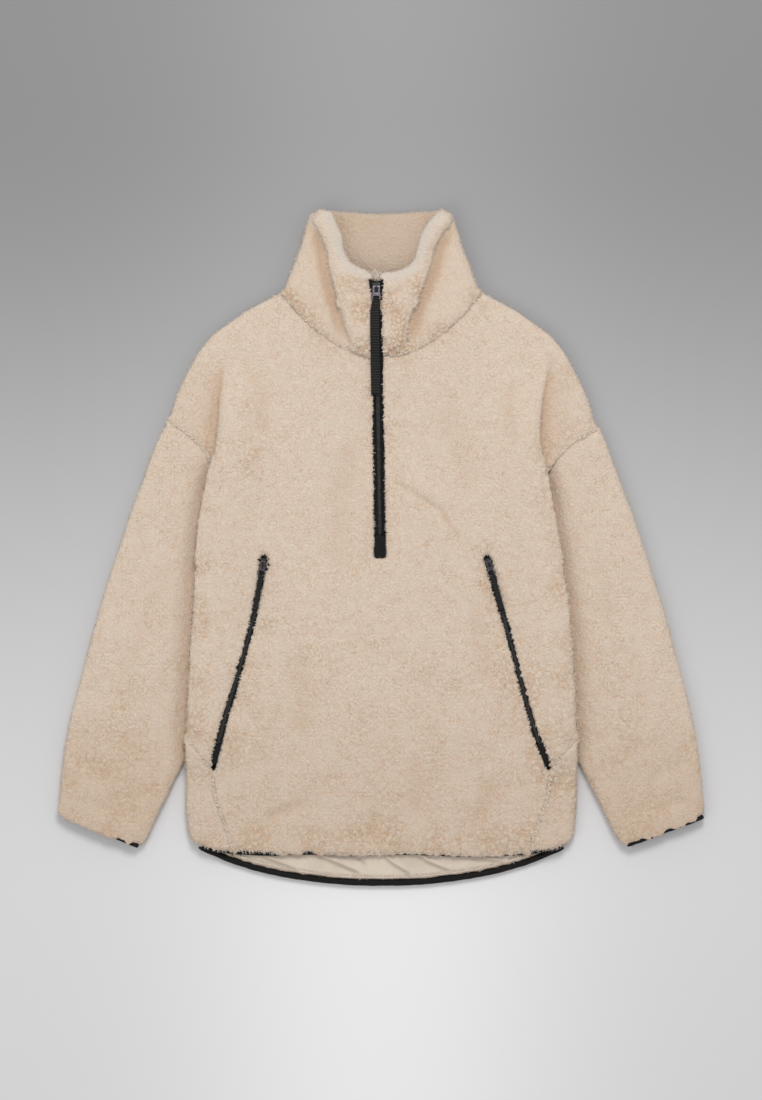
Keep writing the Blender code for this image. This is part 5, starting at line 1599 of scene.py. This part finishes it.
# ---------------------------------------------------------------- hard pieces
class Block:
    """A hard piece that is begun as a block and worked on in edit mode."""

    def __init__(self, name: str, size: tuple, middle: tuple) -> None:
        """Begins with a block.

        Args:
            name: The piece's name.
            size: Its size along x, y and z.
            middle: Where its middle is.
        """
        self.thing = added(bpy.ops.mesh.primitive_cube_add, size=1, location=middle, scale=size)
        self.thing.name = self.thing.data.name = name

    def pick(self, kind: str, rule: Callable) -> None:
        """Goes into edit mode and selects what a rule holds for.

        Args:
            kind: VERT, EDGE or FACE.
            rule: Is asked with each one's middle, and its direction (an edge) or normal.
        """
        solo(self.thing)
        bpy.ops.object.mode_set(mode="EDIT")
        bpy.ops.mesh.select_mode(type=kind)
        bpy.ops.mesh.select_all(action="DESELECT")
        mesh = bmesh.from_edit_mesh(self.thing.data)
        for part in {"VERT": mesh.verts, "EDGE": mesh.edges, "FACE": mesh.faces}[kind]:
            if kind == "VERT":
                middle, way = part.co, part.normal
            elif kind == "EDGE":
                a, b = (v.co for v in part.verts)
                middle, way = (a + b) / 2, (b - a).normalized()
            else:
                middle, way = part.calc_center_median(), part.normal
            part.select_set(bool(rule(middle, way)))
        mesh.select_flush_mode()
        bmesh.update_edit_mesh(self.thing.data)

    def done(self) -> None:
        """Leaves edit mode."""
        bpy.ops.object.mode_set(mode="OBJECT")

    def cut(self, axis: int, *places: float) -> None:
        """Cuts across the piece at places along an axis."""
        for place in places:
            self.pick("FACE", lambda middle, way: True)
            spot, way = [0, 0, 0], [0, 0, 0]
            spot[axis], way[axis] = place, 1
            bpy.ops.mesh.bisect(plane_co=spot, plane_no=way)
            self.done()

    def round_off(self, rule: Callable, radius: float, steps: int = 3) -> None:
        """Rounds the edges that a rule holds for."""
        self.pick("EDGE", rule)
        bpy.ops.mesh.bevel(offset=radius, segments=steps, affect="EDGES")
        self.done()

    def push(self, rule: Callable, by: tuple) -> None:
        """Extrudes the faces that a rule holds for."""
        self.pick("FACE", rule)
        bpy.ops.mesh.extrude_region_move(TRANSFORM_OT_translate={"value": by})
        self.done()

    def hole(self, rule: Callable) -> None:
        """Opens a hole between the opposite faces that a rule holds for."""
        self.pick("FACE", rule)
        bpy.ops.mesh.bridge_edge_loops()
        self.done()

    def widen(self, rule: Callable, by: float) -> None:
        """Scales the points that a rule holds for in width."""
        self.pick("VERT", rule)
        bpy.ops.transform.resize(value=(by, 1, 1), center_override=(0, 0, 0))
        self.done()

    def with_edges(self, radius: float) -> Object:
        """Eases every sharp edge and returns the piece."""
        finished_with(self.thing, "BEVEL", width=radius, segments=2, limit_method="ANGLE",
                      angle_limit=math.radians(40))
        return self.thing


def joined(name: str, things: list) -> Object:
    """Joins several meshes into one object."""
    bpy.ops.object.select_all(action="DESELECT")
    for thing in things:
        thing.select_set(True)
    bpy.context.view_layer.objects.active = things[0]
    bpy.ops.object.join()
    things[0].name = things[0].data.name = name
    return things[0]


@dataclass(frozen=True)
class Seat:
    """Where a zip's slider sits: its pull's hinge, and how far it is turned on the garment."""

    x: float
    y: float
    z: float
    degrees: float = 0.0

    def settle(self, thing: Object) -> Object:
        """Moves a piece that was built about the hinge to its place."""
        rotate = np.array(Matrix.Rotation(math.radians(self.degrees), 3, "Z"))
        place_points(thing, points_of(thing) @ rotate.T + (self.x, self.y, self.z))
        return thing


@dataclass(frozen=True)
class ZipEnd:
    """A slider and its pull, built about the pull's hinge along X, with the zip running down -Y."""

    width: float
    length: float
    plate: float
    crown: float
    pull_width: float
    pull_length: float
    hole_width: float
    hole: float
    ring: tuple | None = None
    hinge: float = 0.0013
    chain: float = 0.0021
    tape: float = 0.0012
    clear: float = 0.0003
    rod: float = 0.0014
    edge: float = 0.00018
    inner: float = 0.0028       # where the flanges begin
    post: float = 0.0011        # half the width of the post
    waist: float = 0.84         # how narrow the slider's foot is
    rise: float = 0.0023        # how high the crown stands over the hinge
    near: float = 0.0001

    def slider(self, name: str) -> Object:
        """Two plates round the chain with flanges and a post between them, and the crown."""
        top, foot, head = -self.hinge, 0.6 * self.length, 0.4 * self.length
        low, high = 0.12 * self.length, head - 0.0008
        under = top - self.plate
        bed = under - self.chain - self.clear
        bottom = bed - self.tape - self.clear - self.plate
        upper, lower = (
            Block(title, (self.width, self.length, self.plate), (0, -0.1 * self.length, middle))
            for title, middle in ((name, top - self.plate / 2), ("lower", bottom + self.plate / 2)))
        upper.cut(0, -self.inner, -self.post, self.post, self.inner)
        upper.cut(1, low, high)
        upper.push(lambda at, way: way.z < -0.9 and abs(at.x) > self.inner, (0, 0, -self.chain))
        upper.push(lambda at, way: way.z < -0.9 and abs(at.x) < 0.001 and low < at.y < high,
                   (0, 0, bed - self.tape - 2 * self.clear - under))
        for plate in (upper, lower):
            plate.widen(lambda at, way: at.y < -foot + self.near, self.waist)
        upper.round_off(lambda at, way: abs(way.z) > 0.9 and abs(at.x) > 0.4 * self.width
                        and (at.y > head - 2 * self.near or at.y < -foot + 2 * self.near), 0.0016)
        lower.round_off(lambda at, way: abs(way.z) > 0.9, 0.0016)
        sunk = top - 0.0012
        arch = Block("arch", (2 * self.crown, 0.0072, self.rise - sunk), (0, 0, (self.rise + sunk) / 2))
        arch.round_off(lambda at, way: abs(way.x) > 0.9 and at.z > 0, 0.0020, 4)
        arch.pick("FACE", lambda at, way: abs(way.x) > 0.9)
        bpy.ops.mesh.inset(thickness=0.0012)
        bpy.ops.mesh.bridge_edge_loops()
        arch.done()
        return joined(name, [part.with_edges(self.edge) for part in (upper, lower, arch)])

    def opened(self, flat: Block, half: float, low: float, high: float) -> None:
        """Cuts a hole through a flat pull, half its width to each side and from low to high."""
        flat.cut(0, -half, half)
        flat.cut(1, low, high)
        flat.hole(lambda at, way: abs(way.z) > 0.9 and abs(at.x) < half and low < at.y < high)

    def pull(self, name: str) -> Object:
        """A flat pull with a hole for the crown, and an arched slot or a ring for its webbing."""
        top, foot = self.rod / 2, self.rod / 2 - self.pull_length
        high, low = -self.rod / 2, -self.rod / 2 - self.hole
        half, near = self.hole_width / 2, self.near
        flat = Block(name, (self.pull_width, self.pull_length, self.rod), (0, (top + foot) / 2, 0))
        self.opened(flat, half, low, high)
        flat.round_off(lambda at, way: abs(way.z) > 0.9 and abs(abs(at.x) - half) < near
                       and low - near < at.y < high + near, 0.35 * half, 2)
        if self.ring is None:
            side, arch = self.pull_width / 2 - 0.0012, foot + self.rod + 0.0031
            self.opened(flat, side, foot + self.rod, arch)
            flat.round_off(lambda at, way: abs(way.z) > 0.9 and abs(at.y - arch) < near
                           and abs(abs(at.x) - side) < near, 0.0024, 4)
        flat.round_off(lambda at, way: abs(way.z) > 0.9 and abs(at.x) > self.pull_width / 2 - near
                       and (at.y < foot + near or at.y > top - near), 0.0011)
        flat.widen(lambda at, way: at.y > low - 4 * near, 0.86)
        parts = [flat.with_edges(self.edge)]
        if self.ring is not None:
            parts.append(self.wire_ring(foot))
        return joined(name, parts)

    def wire_ring(self, foot: float) -> Object:
        """The oval ring at the end of a small pull."""
        x, y = self.ring
        half = self.rod / 2
        middle = (0, foot - y + half, 0)
        ring = added(bpy.ops.mesh.primitive_torus_add, location=middle, major_radius=x, minor_radius=half,
                     major_segments=28, minor_segments=8)
        bpy.ops.object.mode_set(mode="EDIT")
        bpy.ops.mesh.select_all(action="SELECT")
        bpy.ops.transform.resize(value=(1, (y + half) / (x + half), 1), center_override=middle)
        bpy.ops.object.mode_set(mode="OBJECT")
        return ring


@dataclass(frozen=True)
class TapeEnd:
    """The end of a zip's tape beyond its slider or its patch: a strip that is cut to a shape."""

    name: str
    start: tuple
    end: tuple
    width: tuple
    notch: float
    thickness: float = 0.0012

    def build(self) -> Object:
        """Makes the strip, tapers it, notches its end and dresses it."""
        start = np.array(self.start)
        run = np.array(self.end) - start
        length = float(np.linalg.norm(run[:2]))
        strip = Block(self.name, (1.0, length, self.thickness), (0, length / 2, 0))
        strip.cut(0, 0.0)
        strip.cut(1, *(length * np.array((0.25, 0.5, 0.75))))
        points = points_of(strip.thing)
        share = points[:, 1] / length
        points[:, 0] *= np.interp(share, (0, 1), self.width)
        points[:, 1] -= self.notch * (share > 0.99) * (np.abs(points[:, 0]) < 1e-4)
        points[:, 2] += share * run[2]
        place_points(strip.thing, points)
        Seat(*self.start, math.degrees(math.atan2(-run[0], run[1]))).settle(strip.thing)
        return dressed(strip.with_edges(0.0003), Look.TAPE, hard=True)


@dataclass
class Coil:
    """The interlocked teeth along a closed zip: one tooth, copied down both sides."""

    name: str
    line: tuple
    top: float
    bottom: float
    pitch: float
    tooth: tuple = (0.0027, 0.00085, 0.0016)
    aside: float = 0.00095
    sunk: float = 0.0005
    reach: float = 0.006

    def build(self, node: str) -> Object:
        """Makes the teeth and dresses them.

        Args:
            node: The solid of the zip's tape.

        Returns:
            The piece.
        """
        unit = Block("tooth", self.tooth, (0, 0, 0))
        unit.round_off(lambda at, way: True, 0.00028, 1)
        corners = points_of(unit.thing)
        faces = [tuple(p.vertices) for p in unit.thing.data.polygons]
        bpy.data.objects.remove(unit.thing)
        tape = tree_of(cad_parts[node])
        x_at, y_at = np.array(self.line).T[:, ::-1]
        points, walls = [], []
        for i, y in enumerate(np.arange(self.bottom, self.top, self.pitch / 2)):
            x, crest = self.crest(tape, float(np.interp(y, y_at, x_at)), y)
            side = 1 if i % 2 else -1
            walls += [tuple(len(corners) * i + k for k in face) for face in faces]
            points.append(corners + (x + side * self.aside, y, crest - self.sunk))
        return dressed(made_of(self.name, np.vstack(points), walls), Look.COIL, hard=True)

    def crest(self, tape: BVHTree, x: float, y: float) -> tuple[float, float]:
        """The middle and the height of a zip's coil near a place."""
        found = [(height_at(tape, u, y), u) for u in x + np.arange(-self.reach, self.reach, 0.0004)]
        found = [(height, u) for height, u in found if height is not None]
        top = max(found)[0]
        return float(np.mean([u for height, u in found if height > top - 0.0004])), top


@dataclass(frozen=True)
class Zip:
    """One zip: its tape, patch, slider, pull, webbing and coil, and how its webbing is bent and narrowed."""

    name: str
    body: Body
    end: ZipEnd
    seat: Seat
    metal: Look
    coil: Coil
    narrow: float
    drift: tuple = ((0.0, 0.0), (1.0, 0.0))

    def build(self) -> Object:
        """Builds every piece of the zip and returns its webbing."""
        name = self.name
        Trim(f"{name}_tape", f"{name}_tape_cloth", Look.TAPE, uneven=0.0003).build()
        Trim(f"{name}_patch", f"{name}_patch_cloth", Look.BINDING, levels=3).build()
        slider = self.seat.settle(self.end.slider(f"{name}_slider_body"))
        dressed(slider, Look.DARK_METAL, f"{name}_slider", hard=True)
        pull = self.seat.settle(self.end.pull(f"{name}_pull_tab"))
        dressed(pull, self.metal, f"{name}_pull", self.body, hard=True)
        webbing = Webbing(f"{name}_ribbon", f"{name}_webbing", self.body, self.drift, self.narrow).build()
        self.coil.build(f"{name}_tape")
        return webbing


NECK_END = ZipEnd(0.0098, 0.0115, 0.0015, 0.0006, 0.0105, 0.0170, 0.0053, 0.0072)
POCKET_END = ZipEnd(0.0078, 0.0095, 0.0013, 0.0005, 0.0070, 0.0120, 0.0018, 0.0066, ring=(0.0050, 0.0036))
ZIPS = (
    Zip("neck_zip", Body.NECK, NECK_END, Seat(-0.006384, 0.325, 0.0383), Look.METAL,
        Coil("neck_coil", path(-6.2, 313.5, -1.8, 10), 0.3130, 0.0175, 0.0013), 1.0,
        ((0.190, -0.0009), (0.290, -0.0021), (0.303, -0.0006), (0.3085, 0.0))),
    Zip("pocket_zip_left", Body.LEFT, POCKET_END, Seat(-0.147297, -0.017, 0.021301, -9.71), Look.WORN_METAL,
        Coil("pocket_left_coil", POCKET[LEFT], -0.0250, -0.2430, 0.0015), 0.72),
    Zip("pocket_zip_right", Body.RIGHT, POCKET_END, Seat(0.133483, -0.017, 0.021571, 15.48), Look.WORN_METAL,
        Coil("pocket_right_coil", POCKET[RIGHT], -0.0250, -0.2430, 0.0015), 0.86),
)
TAPE_ENDS = (
    TapeEnd("neck_tape_top", (-0.0062, 0.3200, 0.0330), (-0.0061, 0.3350, 0.0346), (0.0160, 0.0200), 0.0040),
    TapeEnd("pocket_left_tape_top", (-0.1473, -0.0150, 0.0145), (-0.1462, -0.0088, 0.0150),
            (0.0090, 0.0084), -0.0006),
    TapeEnd("pocket_right_tape_top", (0.1330, -0.0150, 0.0147), (0.1317, -0.0088, 0.0152),
            (0.0090, 0.0070), -0.0006),
    TapeEnd("pocket_left_tape_foot", (-0.2050, -0.2560, 0.0165), (-0.2133, -0.2855, 0.0160),
            (0.0092, 0.0020), -0.0010),
    TapeEnd("pocket_right_tape_foot", (0.2040, -0.2560, 0.0165), (0.2095, -0.2840, 0.0160),
            (0.0092, 0.0024), -0.0010),
)
BINDINGS = (
    Trim("hem_binding_back", "back_hem_binding", Look.BINDING, thicker=0.0011, rounding="CATMULL_CLARK"),
    Trim("hem_binding_front", "front_hem_binding", Look.BINDING, thicker=0.0004, rounding="CATMULL_CLARK"),
    Trim("cuff_binding_left", "left_cuff_binding", Look.BINDING, thicker=0.0005, rounding="CATMULL_CLARK"),
    Trim("cuff_binding_right", "right_cuff_binding", Look.BINDING, thicker=0.0005, rounding="CATMULL_CLARK"),
)


@dataclass
class Fastenings:
    """The three zips with all that moves on them, the ends of their tapes, and the bindings of the hems."""

    bindings: tuple = BINDINGS
    tape_ends: tuple = TAPE_ENDS
    zips: tuple = ZIPS

    def build(self) -> None:
        """Builds every trim and every hard piece."""
        for piece in self.bindings + self.tape_ends:
            piece.build()
        neck, *_ = [each.build() for each in self.zips]


# ---------------------------------------------------------------- the studio
@dataclass
class Studio:
    """The pale floor, soft light and the camera straight above the garment."""

    lens: float = 120.0
    sensor: float = 36.0
    middle: tuple = (-0.0005, -0.0025)
    focus_height: float = 0.012
    floor_level: float = -0.0004
    floor_size: float = 9.0
    fall: tuple = (0.56, -0.46)
    bright_half: float = 0.24
    top_edge: tuple = (0.255, 0.255, 0.258)
    top_middle: tuple = (0.318, 0.318, 0.323)
    foot_edge: tuple = (0.655, 0.655, 0.665)
    foot_middle: tuple = (0.815, 0.815, 0.825)
    sky: float = 0.62
    sky_colour: tuple = (1.0, 0.99, 0.98, 1)
    lamps: tuple = (("key", (0.25, 1.9, 2.7), 1.1, 51.5), ("fill", (-1.6, -1.2, 2.6), 2.2, 14.0))

    def floor(self) -> None:
        """A wide floor, brightest in front of the hem and darker towards the collar and the sides."""
        floor = added(bpy.ops.mesh.primitive_grid_add, x_subdivisions=8, y_subdivisions=8,
                      size=self.floor_size, location=(0, 0, self.floor_level))
        floor.name = floor.data.name = "floor"
        shader = Shader("floor_paper")
        split = shader.node("ShaderNodeSeparateXYZ", Vector=shader.place).outputs
        down = shader.mapped(split["Y"], *self.fall, how="SMOOTHSTEP")
        aside = shader.sum("MULTIPLY", split["X"], split["X"])
        middle = shader.sum("EXPONENT", shader.sum("MULTIPLY", aside, -1 / self.bright_half ** 2))
        edge = shader.mixed(down, self.top_edge, self.foot_edge)
        centre = shader.mixed(down, self.top_middle, self.foot_middle)
        colour = shader.mixed(middle, edge, centre)
        floor.data.materials.append(shader.surfaced(Base_Color=colour, Roughness=0.9, Specular_IOR_Level=0.1))
        floor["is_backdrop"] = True

    def light(self) -> None:
        """A large soft light from beyond the collar, and an even sky."""
        sky = bpy.data.worlds.new("sky")
        sky.use_nodes = True
        background = sky.node_tree.nodes["Background"].inputs
        background["Color"].default_value = self.sky_colour
        background["Strength"].default_value = self.sky
        bpy.context.scene.world = sky
        for name, place, size, power in self.lamps:
            lamp = bpy.data.lights.new(name, "AREA")
            lamp.size = size
            lamp.energy = power
            thing = link(bpy.data.objects.new(name, lamp))
            thing.location = place
            thing.rotation_euler = (-Vector(place)).to_track_quat("-Z", "Y").to_euler()

    def camera(self) -> None:
        """The camera, looking straight down."""
        lens = bpy.data.cameras.new("camera")
        lens.lens = self.lens
        lens.sensor_width = self.sensor
        camera = link(bpy.data.objects.new("camera", lens))
        away = max(FRAME_PIXELS) * PIXEL * self.lens / self.sensor
        camera.location = (*self.middle, self.focus_height + away)
        lens.clip_end = 50.0
        bpy.context.scene.camera = camera

    def build(self) -> None:
        """Sets up everything round the garment."""
        self.floor()
        self.light()
        self.camera()
        bpy.context.scene.view_settings.view_transform = "Standard"


def main() -> None:
    """Builds the garment and what is round it, piece by piece."""
    Studio().build()
    cloth = Garment().build()
    Lining().build()
    LooseLocks().build(cloth)
    Fastenings().build()
    shown = [thing for thing in bpy.data.objects if thing.type == "MESH" and not thing.hide_render]
    LOG.info("triangles: %d", sum(len(thing.data.loop_triangles) for thing in shown))
    size = {"cad": [list(corner) for corner in SHELL_BOX], "visual": [list(c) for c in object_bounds()]}
    LOG.info("box %s", [round(1000 * (b - a), 1) for a, b in zip(*size["visual"])])


if __name__ == "__main__":
    logging.basicConfig(level=logging.INFO, format="%(name)s: %(message)s")
    main()
